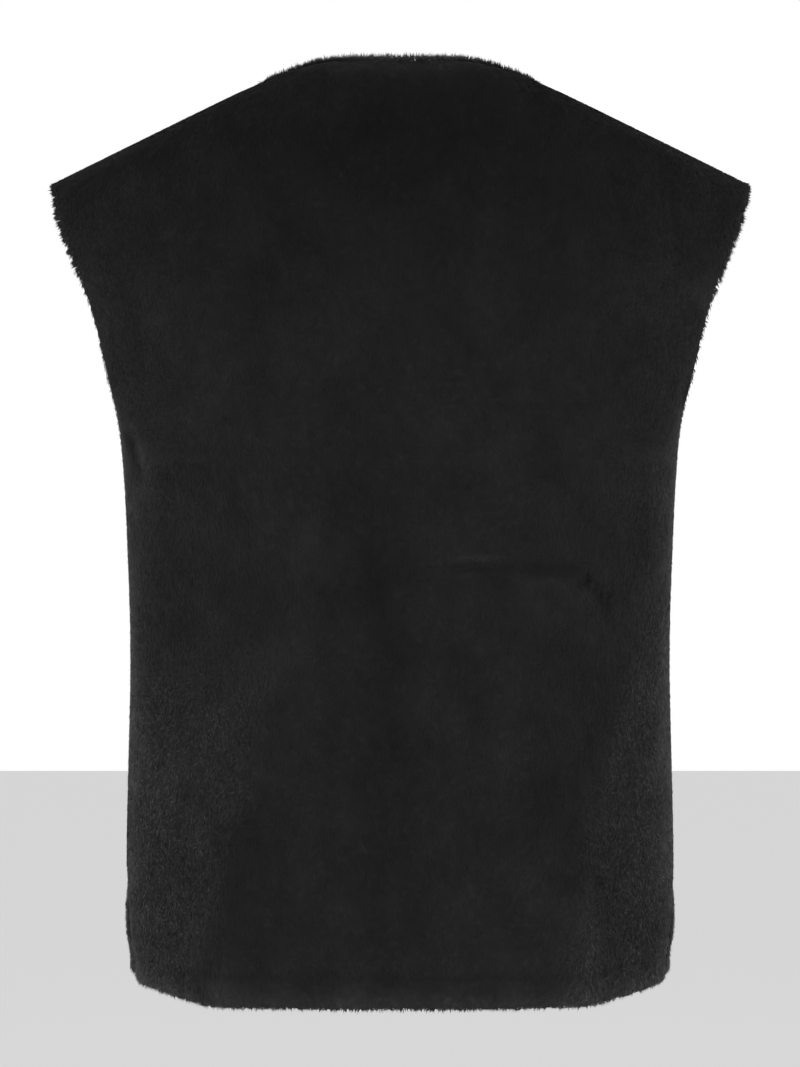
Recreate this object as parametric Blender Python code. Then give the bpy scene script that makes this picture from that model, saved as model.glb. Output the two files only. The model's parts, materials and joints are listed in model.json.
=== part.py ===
"""A sleeveless faux fur vest: a hollow cloth form, filled out as it is when worn.

Metres, +Z up. The front faces -Y and the wearer's left is +X. The origin is the middle of the neck
opening at the height of the shoulder seams' neck ends, where the vest rests on the wearer's shoulders.
Three cut pieces make it: one back and two fronts, which meet at the shoulder and side seams and hang
edge to edge down the centre front.
"""

from collections import namedtuple

import bpy
import numpy as np

# Cloth: a knitted backing with a dense short pile, measured to the tips of the pile
WALL = 0.008
LIP = 0.35  # share of the wall's thickness left at the very end of a turned edge
SEAM_GAP = 0.0004

# Openings
NECK_HALF_WIDTH = 0.095
NECK_BACK_DEPTH = 0.060
V_DEPTH = 0.205
V_CURVE = 1.12  # 1 is a straight V; more bows its edges towards the neck
FRONT_GAP_TOP = 0.0024
FRONT_GAP_HEM = 0.0090

# How finely each piece is divided
ACROSS_STEP = 0.0150
UP_STEP = 0.0245
EDGE_STEPS = (0.0, 0.0016, 0.0042)
NECK_STEPS = (0.0, 0.0025, 0.0070, 0.0140)
TOP_STEPS = (0.0, 0.0016, 0.0042, 0.0100, 0.0170, 0.0250, 0.0340, 0.0450, 0.0580, 0.0730)
HEM_STEPS = (0.0, 0.0016, 0.0042, 0.0110, 0.0200, 0.0300, 0.0420)
FINE = 240  # points read along one section before it is spaced evenly
NUDGE = 0.004  # share of a section used to read the form's slope
LEVEL_NUDGE = 0.0005

# One row for each section, from the back hem over the shoulder to the front hem. The centre is the
# middle of the back or front; the edge is the side seam up to the underarm, and the armhole above.
# Fullness is how squarely the section turns to its edge: 0.44 goes round to the side, 1 stays open.
Section = namedtuple("Section", "name centre_y centre_z edge_x edge_y edge_z fullness")
SECTIONS = (
    Section("back hem", 0.1300, -0.6560, 0.1930, 0.0220, -0.6560, 0.43),
    Section("back low hip", 0.1275, -0.6160, 0.1955, 0.0150, -0.6160, 0.43),
    Section("back hip", 0.1240, -0.5600, 0.1968, 0.0030, -0.5600, 0.43),
    Section("back high hip", 0.1190, -0.4800, 0.1955, -0.0020, -0.4800, 0.43),
    Section("back waist", 0.1155, -0.4040, 0.1946, -0.0020, -0.4000, 0.43),
    Section("back rib", 0.1140, -0.3440, 0.1970, -0.0020, -0.3300, 0.43),
    Section("back underarm", 0.1135, -0.2880, 0.1992, 0.0000, -0.2700, 0.44),
    Section("back underarm curve", 0.1133, -0.2730, 0.1996, 0.0090, -0.2685, 0.45),
    Section("back low armhole", 0.1132, -0.2580, 0.2002, 0.0200, -0.2640, 0.47),
    Section("back armhole curve", 0.1128, -0.2350, 0.2014, 0.0360, -0.2510, 0.50),
    Section("back blade", 0.1110, -0.1980, 0.2062, 0.0500, -0.2290, 0.60),
    Section("back upper blade", 0.1060, -0.1460, 0.2135, 0.0585, -0.1955, 0.76),
    Section("back yoke", 0.0970, -0.0930, 0.2235, 0.0600, -0.1590, 0.88),
    Section("back high yoke", 0.0850, -0.0420, 0.2375, 0.0520, -0.1210, 0.94),
    Section("back nape", 0.0745, -0.0120, 0.2455, 0.0385, -0.0980, 0.95),
    Section("back neck", 0.0640, 0.0050, 0.2475, 0.0290, -0.0890, 0.96),
    Section("back shoulder", 0.0420, 0.0092, 0.2492, 0.0180, -0.0825, 0.98),
    Section("shoulder seam", 0.0000, 0.0145, 0.2502, 0.0000, -0.0770, 1.00),
    Section("front shoulder", -0.0360, 0.0060, 0.2492, -0.0180, -0.0825, 0.98),
    Section("front high yoke", -0.0640, -0.0180, 0.2455, -0.0360, -0.0970, 0.96),
    Section("front yoke", -0.0860, -0.0560, 0.2375, -0.0500, -0.1210, 0.94),
    Section("front upper chest", -0.1020, -0.1020, 0.2235, -0.0570, -0.1590, 0.86),
    Section("front chest", -0.1150, -0.1500, 0.2135, -0.0560, -0.1955, 0.72),
    Section("front bust", -0.1230, -0.1980, 0.2062, -0.0470, -0.2290, 0.58),
    Section("front armhole curve", -0.1262, -0.2350, 0.2014, -0.0340, -0.2510, 0.50),
    Section("front low armhole", -0.1272, -0.2580, 0.2002, -0.0190, -0.2640, 0.47),
    Section("front underarm curve", -0.1275, -0.2730, 0.1996, -0.0085, -0.2685, 0.45),
    Section("front underarm", -0.1276, -0.2880, 0.1992, 0.0000, -0.2700, 0.44),
    Section("front rib", -0.1265, -0.3440, 0.1970, -0.0020, -0.3300, 0.43),
    Section("front waist", -0.1240, -0.4040, 0.1946, -0.0020, -0.4000, 0.42),
    Section("front high hip", -0.1215, -0.4800, 0.1955, -0.0020, -0.4800, 0.41),
    Section("front hip", -0.1205, -0.5600, 0.1968, 0.0030, -0.5600, 0.40),
    Section("front low hip", -0.1205, -0.6160, 0.1955, 0.0150, -0.6160, 0.39),
    Section("front hem", -0.1210, -0.6560, 0.1930, 0.0220, -0.6560, 0.39),
)
ROUNDNESS = 2.3  # power of the superellipse that each section follows
ROOF_TURN = namedtuple("RoofTurn", "share softness")(0.25, 0.06)  # where the shoulders start to fall
# The hem curves up to the side seams, from one share of the way round to another
HEM_RISE = namedtuple("HemRise", "height start full fade")(0.0090, 0.50, 0.86, 0.100)

# Soft folds, as ridges (height above 0) and valleys (below 0). Each runs from its top to its bottom
# and lies at a distance from a line: the panel's centre, or the side seam (back is minus). Side is
# +1 on the wearer's left, -1 on the right and 0 on both. Width is the fold's half width.
Fold = namedtuple("Fold", "panel side line top_z bottom_z top_at bottom_at bow height width")
FOLDS = (
    Fold("back", 0, "centre", -0.200, -0.700, 0.000, 0.000, 0.000, -0.0055, 0.028),
    Fold("back", 1, "centre", -0.300, -0.700, 0.020, 0.120, 0.030, 0.0070, 0.024),
    Fold("back", 1, "centre", -0.480, -0.700, 0.066, 0.078, 0.000, -0.0035, 0.022),
    Fold("back", -1, "centre", -0.230, -0.560, 0.062, 0.088, 0.000, 0.0035, 0.030),
    Fold("back", -1, "centre", -0.520, -0.700, 0.122, 0.134, 0.000, 0.0045, 0.020),
    Fold("back", -1, "centre", -0.570, -0.665, 0.160, 0.168, 0.000, -0.0040, 0.014),
    Fold("back", 1, "centre", -0.615, -0.700, 0.140, 0.140, 0.000, 0.0035, 0.010),
    Fold("back", -1, "centre", -0.180, -0.260, 0.220, 0.228, 0.000, -0.0030, 0.016),
    Fold("both", 1, "seam", -0.560, -0.720, 0.000, 0.000, 0.000, -0.0150, 0.015),
    Fold("both", -1, "seam", -0.565, -0.720, 0.000, 0.000, 0.000, -0.0120, 0.014),
    Fold("both", 0, "seam", -0.545, -0.720, 0.036, 0.038, 0.000, 0.0070, 0.020),
    Fold("front", 1, "centre", -0.250, -0.700, 0.105, 0.120, 0.000, 0.0055, 0.026),
    Fold("front", -1, "centre", -0.240, -0.700, 0.110, 0.104, 0.000, 0.0050, 0.028),
    Fold("front", 1, "centre", -0.330, -0.700, 0.060, 0.062, 0.000, -0.0040, 0.022),
    Fold("front", -1, "centre", -0.300, -0.700, 0.068, 0.056, 0.000, -0.0035, 0.024),
    Fold("front", -1, "centre", -0.430, -0.700, 0.165, 0.172, 0.000, -0.0035, 0.018),
)
SEAM_CALM = 0.012  # folds of one piece alone die away this near its side seam
HEM_VALLEY = namedtuple("HemValley", "up depth width")(0.024, 0.0024, 0.0085)  # above its turned edge

Panel = namedtuple("Panel", "name sides front")
PANELS = (
    Panel("back", (-1, 1), False),
    Panel("front_left", (1,), True),
    Panel("front_right", (-1,), True),
)
FUR_COLOUR = (0.0145, 0.0145, 0.0150, 1.0)
FUR_ROUGHNESS = 0.85


def column(name):
    """One named column of the section table."""
    return np.array([getattr(row, name) for row in SECTIONS])


def index_of(name):
    return [row.name for row in SECTIONS].index(name)


def section_levels():
    """How far along the centre line each section lies, in metres from the back hem."""
    steps = np.hypot(np.diff(column("centre_y")), np.diff(column("centre_z")))
    return np.concatenate([[0.0], np.cumsum(steps)])


LEVELS = section_levels()
BACK_UNDERARM = LEVELS[index_of("back underarm")]
SHOULDER_SEAM = LEVELS[index_of("shoulder seam")]
FRONT_UNDERARM = LEVELS[index_of("front underarm")]
FRONT_HEM = LEVELS[-1]
HEM_Z = SECTIONS[0].centre_z


def spline_bends(knots, values):
    """The second derivatives of the natural cubic spline through the values."""
    gaps = np.diff(knots)
    slopes = np.diff(values) / gaps
    system = np.eye(len(knots))
    right = np.zeros(len(knots))
    for i in range(1, len(knots) - 1):
        system[i, i - 1 : i + 2] = gaps[i - 1], 2 * (gaps[i - 1] + gaps[i]), gaps[i]
        right[i] = 6 * (slopes[i] - slopes[i - 1])
    return np.linalg.solve(system, right)


def spline_at(knots, values, bends, level):
    i = np.clip(np.searchsorted(knots, level) - 1, 0, len(knots) - 2)
    gap = knots[i + 1] - knots[i]
    after = (level - knots[i]) / gap
    before = 1 - after
    curved = (before**3 - before) * bends[i] + (after**3 - after) * bends[i + 1]
    return before * values[i] + after * values[i + 1] + curved * gap * gap / 6


def smooth_column(name, breaks=()):
    """A function of level through one column of the table, with a corner allowed at each break."""
    values = column(name)
    ends = [0, *[index_of(b) for b in breaks], len(values) - 1]
    runs = []
    for first, last in zip(ends[:-1], ends[1:]):
        knots, part = LEVELS[first : last + 1], values[first : last + 1]
        runs.append((knots, part, spline_bends(knots, part)))

    def at(level):
        found = spline_at(*runs[-1], level)
        for run in reversed(runs[:-1]):
            found = np.where(level <= run[0][-1], spline_at(*run, level), found)
        return found

    return at


UNDERARMS = ("back underarm", "front underarm")
CENTRE_Y = smooth_column("centre_y")
CENTRE_Z = smooth_column("centre_z")
EDGE_X = smooth_column("edge_x", UNDERARMS)
EDGE_Y = smooth_column("edge_y", UNDERARMS)
EDGE_Z = smooth_column("edge_z", UNDERARMS)
FULLNESS = smooth_column("fullness")


def roof(share):
    """A section's height across the shoulders: 1 at the centre, 0 at the edge, level at the neck."""
    def fall(s):
        return ROOF_TURN.softness * np.log1p(np.exp((s - ROOF_TURN.share) / ROOF_TURN.softness))

    return (fall(1.0) - fall(share)) / (fall(1.0) - fall(0.0))


def smooth_step(low, high, value):
    t = np.clip((value - low) / (high - low), 0, 1)
    return t * t * (3 - 2 * t)


def section(level):
    """Points of half sections, each from its centre to its edge, and how far along they lie."""
    level = np.asarray(level, dtype=float)[..., None]
    turn = np.linspace(0, np.pi / 2, FINE)
    share = np.sin(turn) ** (2 / ROUNDNESS)
    fall = np.cos(turn) ** (2 * FULLNESS(level))
    edge_y, edge_z = EDGE_Y(level), EDGE_Z(level)
    x = EDGE_X(level) * share
    y = edge_y + (CENTRE_Y(level) - edge_y) * fall
    z = edge_z + (CENTRE_Z(level) - edge_z) * roof(share)
    points = np.stack([x, y, z], axis=-1)
    steps = np.linalg.norm(np.diff(points, axis=-2), axis=-1)
    return points, np.insert(np.cumsum(steps, axis=-1), 0, 0.0, axis=-1)


def smooth_place(share, level):
    """Points of the unfolded form at shares of the way from centre to edge, and both distances."""
    points, along = section(level)
    at = share * along[..., -1]
    i = np.clip(np.sum(along < at[..., None], axis=-1) - 1, 0, FINE - 2)[..., None]
    low, high = (np.take_along_axis(along, i + k, axis=-1) for k in (0, 1))
    t = ((at[..., None] - low) / (high - low))[..., None]
    first, second = (np.take_along_axis(points, (i + k)[..., None], axis=-2) for k in (0, 1))
    place = (first + (second - first) * t)[..., 0, :]
    near_hem = smooth_step(0, HEM_RISE.fade, HEM_Z + HEM_RISE.fade - place[..., 2])
    place[..., 2] += HEM_RISE.height * smooth_step(HEM_RISE.start, HEM_RISE.full, share) * near_hem
    return place, at, along[..., -1] - at


def fold_height(panel, side, from_centre, from_seam, z):
    """How far the folds move the cloth outwards."""
    total = np.zeros_like(z)
    for fold in FOLDS:
        if fold.panel not in ("both", panel) or fold.side not in (0, side):
            continue
        run = np.clip((fold.top_z - z) / (fold.top_z - fold.bottom_z), 0, 1)
        at = fold.top_at + (fold.bottom_at - fold.top_at) * run + 4 * fold.bow * run * (1 - run)
        away = (from_centre if fold.line == "centre" else from_seam) - at
        fade = 0.35 * (fold.top_z - fold.bottom_z)
        there = smooth_step(0, fade, fold.top_z - z)
        if fold.bottom_z > HEM_Z:
            there = there * smooth_step(0, fade, z - fold.bottom_z)
        if fold.panel != "both":
            there = there * smooth_step(0, SEAM_CALM, np.abs(from_seam))
        total = total + fold.height * there * np.exp(-((away / fold.width) ** 2))
    up = z - HEM_Z - HEM_VALLEY.up
    return total - HEM_VALLEY.depth * np.exp(-((up / HEM_VALLEY.width) ** 2))


def square_to(across, up):
    """Unit vectors square to both slopes, pointing out of the vest."""
    square = np.cross(up, across)
    return square / np.linalg.norm(square, axis=-1, keepdims=True)


def slopes(place, share, level):
    """How a form runs across and along its sections, read from nearby points of it."""
    left, right = np.maximum(share - NUDGE, 0.0), np.minimum(share + NUDGE, 1.0)
    lower, upper = np.maximum(level - LEVEL_NUDGE, 0.0), np.minimum(level + LEVEL_NUDGE, FRONT_HEM)
    return place(right, level) - place(left, level), place(share, upper) - place(share, lower)


def folded_place(panel, side, share, level):
    """Points of the pile's outer face on the wearer's left; the other side mirrors them."""
    place, from_centre, from_edge = smooth_place(share, level)
    out = square_to(*slopes(lambda s, l: smooth_place(s, l)[0], share, level))
    from_seam = from_edge if panel == "front" else -from_edge
    return place + out * fold_height(panel, side, from_centre, from_seam, place[..., 2])[..., None]


def outward(panel, side, share, level):
    """Directions square to the folded cloth, pointing out."""
    return square_to(*slopes(lambda s, l: folded_place(panel, side, s, l), share, level))


def last_level(low, high, wanted):
    """The levels between low and high where the test stops being true."""
    for _ in range(40):
        middle = (low + high) / 2
        yes = wanted(middle)
        low, high = np.where(yes, middle, low), np.where(yes, high, middle)
    return low


def v_half_width(z):
    """Half the width of the neck's V at a height, in the front view."""
    down = np.clip(-z / V_DEPTH, 0, 1)
    return NECK_HALF_WIDTH * (1 - down ** (1 / V_CURVE))


def with_gaps(panel, share, level):
    """Shares moved a little to leave the gaps between the fronts and at the side seams."""
    place, from_centre, from_edge = smooth_place(share, level)
    length = from_centre + from_edge
    if panel == "front":
        run = np.clip((-V_DEPTH - place[..., 2]) / (-V_DEPTH - HEM_Z), 0, 1)
        gap = (FRONT_GAP_TOP + (FRONT_GAP_HEM - FRONT_GAP_TOP) * run) / 2 / length
        share = gap + share * (1 - gap)
    below = (level <= BACK_UNDERARM) | (level >= FRONT_UNDERARM)
    return np.where(below, np.minimum(share, 1 - SEAM_GAP / 2 / length), share)


def panel_top(panel, share):
    """The levels where a panel ends, and whether that is the neck's edge or the shoulder seam."""
    def outside_neck(level):
        x, y, z = np.moveaxis(smooth_place(with_gaps(panel, share, level), level)[0], -1, 0)
        if panel == "back":
            return (x / NECK_HALF_WIDTH) ** 2 + (y / NECK_BACK_DEPTH) ** 2 > 1
        return x > v_half_width(z)

    seam = np.full_like(share, SHOULDER_SEAM)
    at_seam = outside_neck(seam)
    underarm = BACK_UNDERARM if panel == "back" else FRONT_UNDERARM
    beside_seam = seam + (SEAM_GAP / 2 if panel == "front" else -SEAM_GAP / 2)
    neck = last_level(np.full_like(share, underarm), seam, outside_neck)
    return np.where(at_seam, beside_seam, neck), ~at_seam


def even_steps(start, end, step, first=(0.0,), last=(0.0,)):
    """Values about a step apart, with the given finer ones beside the start and the end."""
    inner_start, inner_end = start + first[-1], end - last[-1]
    count = max(2, int(round((inner_end - inner_start) / step)) + 1)
    middle = np.linspace(inner_start, inner_end, count)
    begin = start + np.array(first[:-1])
    finish = end - np.array(last[:-1])[::-1]
    return np.concatenate([begin, middle, finish])


def half_columns(panel):
    """Shares across one half of a panel, from its centre to its edge, with one at the neck's end."""
    length = section(BACK_UNDERARM)[1][-1]
    points, along = section(SHOULDER_SEAM)
    neck = np.interp(NECK_HALF_WIDTH, points[:, 0], along) / along[-1] * length
    centre_steps = EDGE_STEPS if panel == "front" else (0.0,)
    to_neck = even_steps(0.0, neck, ACROSS_STEP, centre_steps, NECK_STEPS)
    to_edge = even_steps(neck, length, ACROSS_STEP, (0.0,), EDGE_STEPS)
    return np.concatenate([to_neck, to_edge[1:]]) / length


def row_levels(panel, top):
    """Levels up each column, from the hem by way of the underarm to the panel's top edge."""
    hem, underarm = (0.0, BACK_UNDERARM) if panel == "back" else (FRONT_HEM, FRONT_UNDERARM)
    below = even_steps(0.0, abs(underarm - hem), UP_STEP, HEM_STEPS)
    length = np.abs(top - underarm)[:, None]
    near_top = length - np.array(TOP_STEPS)[::-1]
    even = even_steps(0.0, abs(SHOULDER_SEAM - underarm), UP_STEP, (0.0,), (TOP_STEPS[-1],))
    above = even[1:-1] / even[-1] * (length - TOP_STEPS[-1])
    above = np.concatenate([above, near_top], axis=1) + abs(underarm - hem)
    distances = np.concatenate([np.broadcast_to(below, (len(top), len(below))), above], axis=1)
    return distances if panel == "back" else FRONT_HEM - distances


def half_grid(panel, side):
    """Outer points, outward directions and free-edge marks of one half panel, centre column first."""
    columns = half_columns(panel)
    top, at_neck = panel_top(panel, columns)
    levels = row_levels(panel, top)
    share = with_gaps(panel, np.broadcast_to(columns[:, None], levels.shape), levels)
    free = np.zeros(levels.shape, dtype=bool)
    free[:, 0] = True
    free[at_neck, -1] = True
    free[-1] = (levels[-1] >= BACK_UNDERARM) & (levels[-1] <= FRONT_UNDERARM)
    free[0] |= panel == "front"
    mirror = np.array([side, 1, 1])
    return (
        folded_place(panel, side, share, levels) * mirror,
        outward(panel, side, share, levels) * mirror,
        free,
    )


def panel_grid(panel):
    """The whole panel's outer points, directions and free-edge marks, column by column."""
    kind = "front" if panel.front else "back"
    halves = [half_grid(kind, side) for side in panel.sides]
    if len(halves) == 1:
        return halves[0]
    right, left = halves
    left[0][0] = (right[0][0] + left[0][0]) / 2
    centre_out = right[1][0] + left[1][0]
    left[1][0] = centre_out / np.linalg.norm(centre_out, axis=1)[:, None]
    return tuple(np.concatenate([r[:0:-1], part]) for r, part in zip(right, left))


def distance_to_free_edge(points, free):
    """How far each point is from the nearest free edge of its panel."""
    spots = points[free]
    flat = points.reshape(-1, 1, 3)
    return np.linalg.norm(flat - spots, axis=-1).min(axis=1).reshape(points.shape[:2])


def wall_share(distance):
    """The wall's thickness near a turned edge, as a share of the whole: a half-round lip."""
    inward = np.clip(1 - distance / (WALL / 2), 0, 1)
    return np.maximum(np.sqrt(1 - inward * inward), LIP)


def fur_material():
    material = bpy.data.materials.new("black short pile")
    material.use_nodes = True
    shader = material.node_tree.nodes["Principled BSDF"]
    shader.inputs["Base Color"].default_value = FUR_COLOUR
    shader.inputs["Roughness"].default_value = FUR_ROUGHNESS
    shader.inputs["Metallic"].default_value = 0.0
    return material


def grid_index(layer, column_count, row_count):
    numbers = np.arange(column_count * row_count).reshape(column_count, row_count)
    return numbers + layer * column_count * row_count


def wall_faces(column_count, row_count, flipped):
    """Quads of a closed wall: its outer face, its inner face and the rim that joins them."""
    outer = grid_index(0, column_count, row_count)
    inner = grid_index(1, column_count, row_count)

    def quads(a, b, c, d):
        return np.stack([x.reshape(-1) for x in (a, b, c, d)], axis=1)

    def sheet(g):
        return quads(g[:-1, :-1], g[1:, :-1], g[1:, 1:], g[:-1, 1:])

    around = [
        (outer[:, 0], inner[:, 0]),
        (outer[-1, :], inner[-1, :]),
        (outer[::-1, -1], inner[::-1, -1]),
        (outer[0, ::-1], inner[0, ::-1]),
    ]
    faces = [sheet(outer), sheet(inner)[:, ::-1]]
    faces += [quads(o[1:], o[:-1], i[:-1], i[1:]) for o, i in around]
    faces = np.concatenate(faces)
    return faces[:, ::-1] if flipped else faces


def build_panel(panel, collection, material):
    points, normals, free = panel_grid(panel)
    half = WALL / 2 * wall_share(distance_to_free_edge(points, free))[:, :, None]
    middle = points - normals * WALL / 2
    corners = np.concatenate([(middle + normals * half), (middle - normals * half)])
    column_count, row_count = points.shape[:2]
    flipped = panel.front != (panel.sides[-1] > 0)
    faces = wall_faces(column_count, row_count, flipped)
    mesh = bpy.data.meshes.new(panel.name)
    mesh.from_pydata(corners.reshape(-1, 3).tolist(), [], faces.tolist())
    mesh.shade_smooth()
    mesh.materials.append(material)
    collection.objects.link(bpy.data.objects.new(panel.name, mesh))


def main():
    for old in list(bpy.data.objects):
        bpy.data.objects.remove(old)
    collection = bpy.data.collections.new("faux fur vest")
    bpy.context.scene.collection.children.link(collection)
    material = fur_material()
    for panel in PANELS:
        build_panel(panel, collection, material)


main()
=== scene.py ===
import json
import math
from collections import namedtuple

import bpy
import numpy as np
from bpy.props import FloatProperty, FloatVectorProperty, IntProperty, PointerProperty
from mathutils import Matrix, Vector

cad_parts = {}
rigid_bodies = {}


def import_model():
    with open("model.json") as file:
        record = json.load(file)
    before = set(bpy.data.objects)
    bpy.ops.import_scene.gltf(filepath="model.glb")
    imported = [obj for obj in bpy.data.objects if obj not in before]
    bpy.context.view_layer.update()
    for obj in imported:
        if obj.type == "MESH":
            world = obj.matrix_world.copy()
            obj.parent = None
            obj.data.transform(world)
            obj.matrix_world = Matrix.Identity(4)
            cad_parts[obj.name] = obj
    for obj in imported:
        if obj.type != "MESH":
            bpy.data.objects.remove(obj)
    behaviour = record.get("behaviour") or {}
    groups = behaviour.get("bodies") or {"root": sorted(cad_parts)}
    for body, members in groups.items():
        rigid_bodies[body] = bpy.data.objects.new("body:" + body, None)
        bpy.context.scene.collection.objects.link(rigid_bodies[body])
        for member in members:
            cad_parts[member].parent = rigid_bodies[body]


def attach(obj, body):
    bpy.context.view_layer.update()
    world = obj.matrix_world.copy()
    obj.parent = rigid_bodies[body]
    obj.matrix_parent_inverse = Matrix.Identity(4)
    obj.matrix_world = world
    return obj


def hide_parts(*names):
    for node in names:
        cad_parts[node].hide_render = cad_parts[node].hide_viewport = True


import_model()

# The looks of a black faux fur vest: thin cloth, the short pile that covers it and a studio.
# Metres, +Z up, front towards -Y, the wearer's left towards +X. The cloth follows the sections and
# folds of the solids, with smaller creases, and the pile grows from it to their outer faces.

bl_info = {
    "name": "Faux Fur Vest",
    "version": (1, 0, 0),
    "blender": (4, 5, 0),
    "location": "3D View > Sidebar > Fur Vest",
    "description": "Builds a short-pile faux fur vest: its cloth, its pile and a studio",
    "category": "Object",
}

# Openings, measured to the tips of the pile
NECK_HALF_WIDTH = 0.095
NECK_BACK_DEPTH = 0.060
V_DEPTH = 0.205
V_CURVE = 1.12
FRONT_GAP_TOP = 0.0024
FRONT_GAP_HEM = 0.0090
# The panels' cloth laps by this at the seams, so that no light shows through
SEAM_LAP = 0.0008

# Finer steps beside edges, at the neck's ends and near the top
RIM_STEPS = (0.0, 0.00025, 0.0007, 0.0014, 0.0026, 0.0045)
NECK_STEPS = (0.0, 0.0020, 0.0050, 0.0095)
FINE = 200
NUDGE = 0.004
LEVEL_NUDGE = 0.0012
# Cosines between the directions of the creased and the plain cloth: up to the first the plain one
# counts alone, and from the second the creased one
AGREEMENT = (0.55, 0.85)
LIP = 0.12

Section = namedtuple("Section", "name centre_y centre_z edge_x edge_y edge_z fullness")
SECTIONS = (
    Section("back hem", 0.1300, -0.6560, 0.1930, 0.0220, -0.6560, 0.43),
    Section("back low hip", 0.1275, -0.6160, 0.1955, 0.0150, -0.6160, 0.43),
    Section("back hip", 0.1240, -0.5600, 0.1968, 0.0030, -0.5600, 0.43),
    Section("back high hip", 0.1190, -0.4800, 0.1955, -0.0020, -0.4800, 0.43),
    Section("back waist", 0.1155, -0.4040, 0.1946, -0.0020, -0.4000, 0.43),
    Section("back rib", 0.1140, -0.3440, 0.1970, -0.0020, -0.3300, 0.43),
    Section("back underarm", 0.1135, -0.2880, 0.1992, 0.0000, -0.2700, 0.44),
    Section("back underarm curve", 0.1133, -0.2730, 0.1996, 0.0090, -0.2685, 0.45),
    Section("back low armhole", 0.1132, -0.2580, 0.2002, 0.0200, -0.2640, 0.47),
    Section("back armhole curve", 0.1128, -0.2350, 0.2014, 0.0360, -0.2510, 0.50),
    Section("back blade", 0.1110, -0.1980, 0.2062, 0.0500, -0.2290, 0.60),
    Section("back upper blade", 0.1060, -0.1460, 0.2135, 0.0585, -0.1955, 0.76),
    Section("back yoke", 0.0970, -0.0930, 0.2235, 0.0600, -0.1590, 0.88),
    Section("back high yoke", 0.0850, -0.0420, 0.2375, 0.0520, -0.1210, 0.94),
    Section("back nape", 0.0745, -0.0120, 0.2455, 0.0385, -0.0980, 0.95),
    Section("back neck", 0.0640, 0.0050, 0.2475, 0.0290, -0.0890, 0.96),
    Section("back shoulder", 0.0420, 0.0092, 0.2492, 0.0180, -0.0825, 0.98),
    Section("shoulder seam", 0.0000, 0.0145, 0.2502, 0.0000, -0.0770, 1.00),
    Section("front shoulder", -0.0360, 0.0060, 0.2492, -0.0180, -0.0825, 0.98),
    Section("front high yoke", -0.0640, -0.0180, 0.2455, -0.0360, -0.0970, 0.96),
    Section("front yoke", -0.0860, -0.0560, 0.2375, -0.0500, -0.1210, 0.94),
    Section("front upper chest", -0.1020, -0.1020, 0.2235, -0.0570, -0.1590, 0.86),
    Section("front chest", -0.1150, -0.1500, 0.2135, -0.0560, -0.1955, 0.72),
    Section("front bust", -0.1230, -0.1980, 0.2062, -0.0470, -0.2290, 0.58),
    Section("front armhole curve", -0.1262, -0.2350, 0.2014, -0.0340, -0.2510, 0.50),
    Section("front low armhole", -0.1272, -0.2580, 0.2002, -0.0190, -0.2640, 0.47),
    Section("front underarm curve", -0.1275, -0.2730, 0.1996, -0.0085, -0.2685, 0.45),
    Section("front underarm", -0.1276, -0.2880, 0.1992, 0.0000, -0.2700, 0.44),
    Section("front rib", -0.1265, -0.3440, 0.1970, -0.0020, -0.3300, 0.43),
    Section("front waist", -0.1240, -0.4040, 0.1946, -0.0020, -0.4000, 0.42),
    Section("front high hip", -0.1215, -0.4800, 0.1955, -0.0020, -0.4800, 0.41),
    Section("front hip", -0.1205, -0.5600, 0.1968, 0.0030, -0.5600, 0.40),
    Section("front low hip", -0.1205, -0.6160, 0.1955, 0.0150, -0.6160, 0.39),
    Section("front hem", -0.1210, -0.6560, 0.1930, 0.0220, -0.6560, 0.39),
)
ROUNDNESS = 2.3
ROOF_TURN = namedtuple("RoofTurn", "share softness")(0.25, 0.06)
HEM_RISE = namedtuple("HemRise", "height start full fade")(0.0090, 0.50, 0.86, 0.100)

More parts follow.
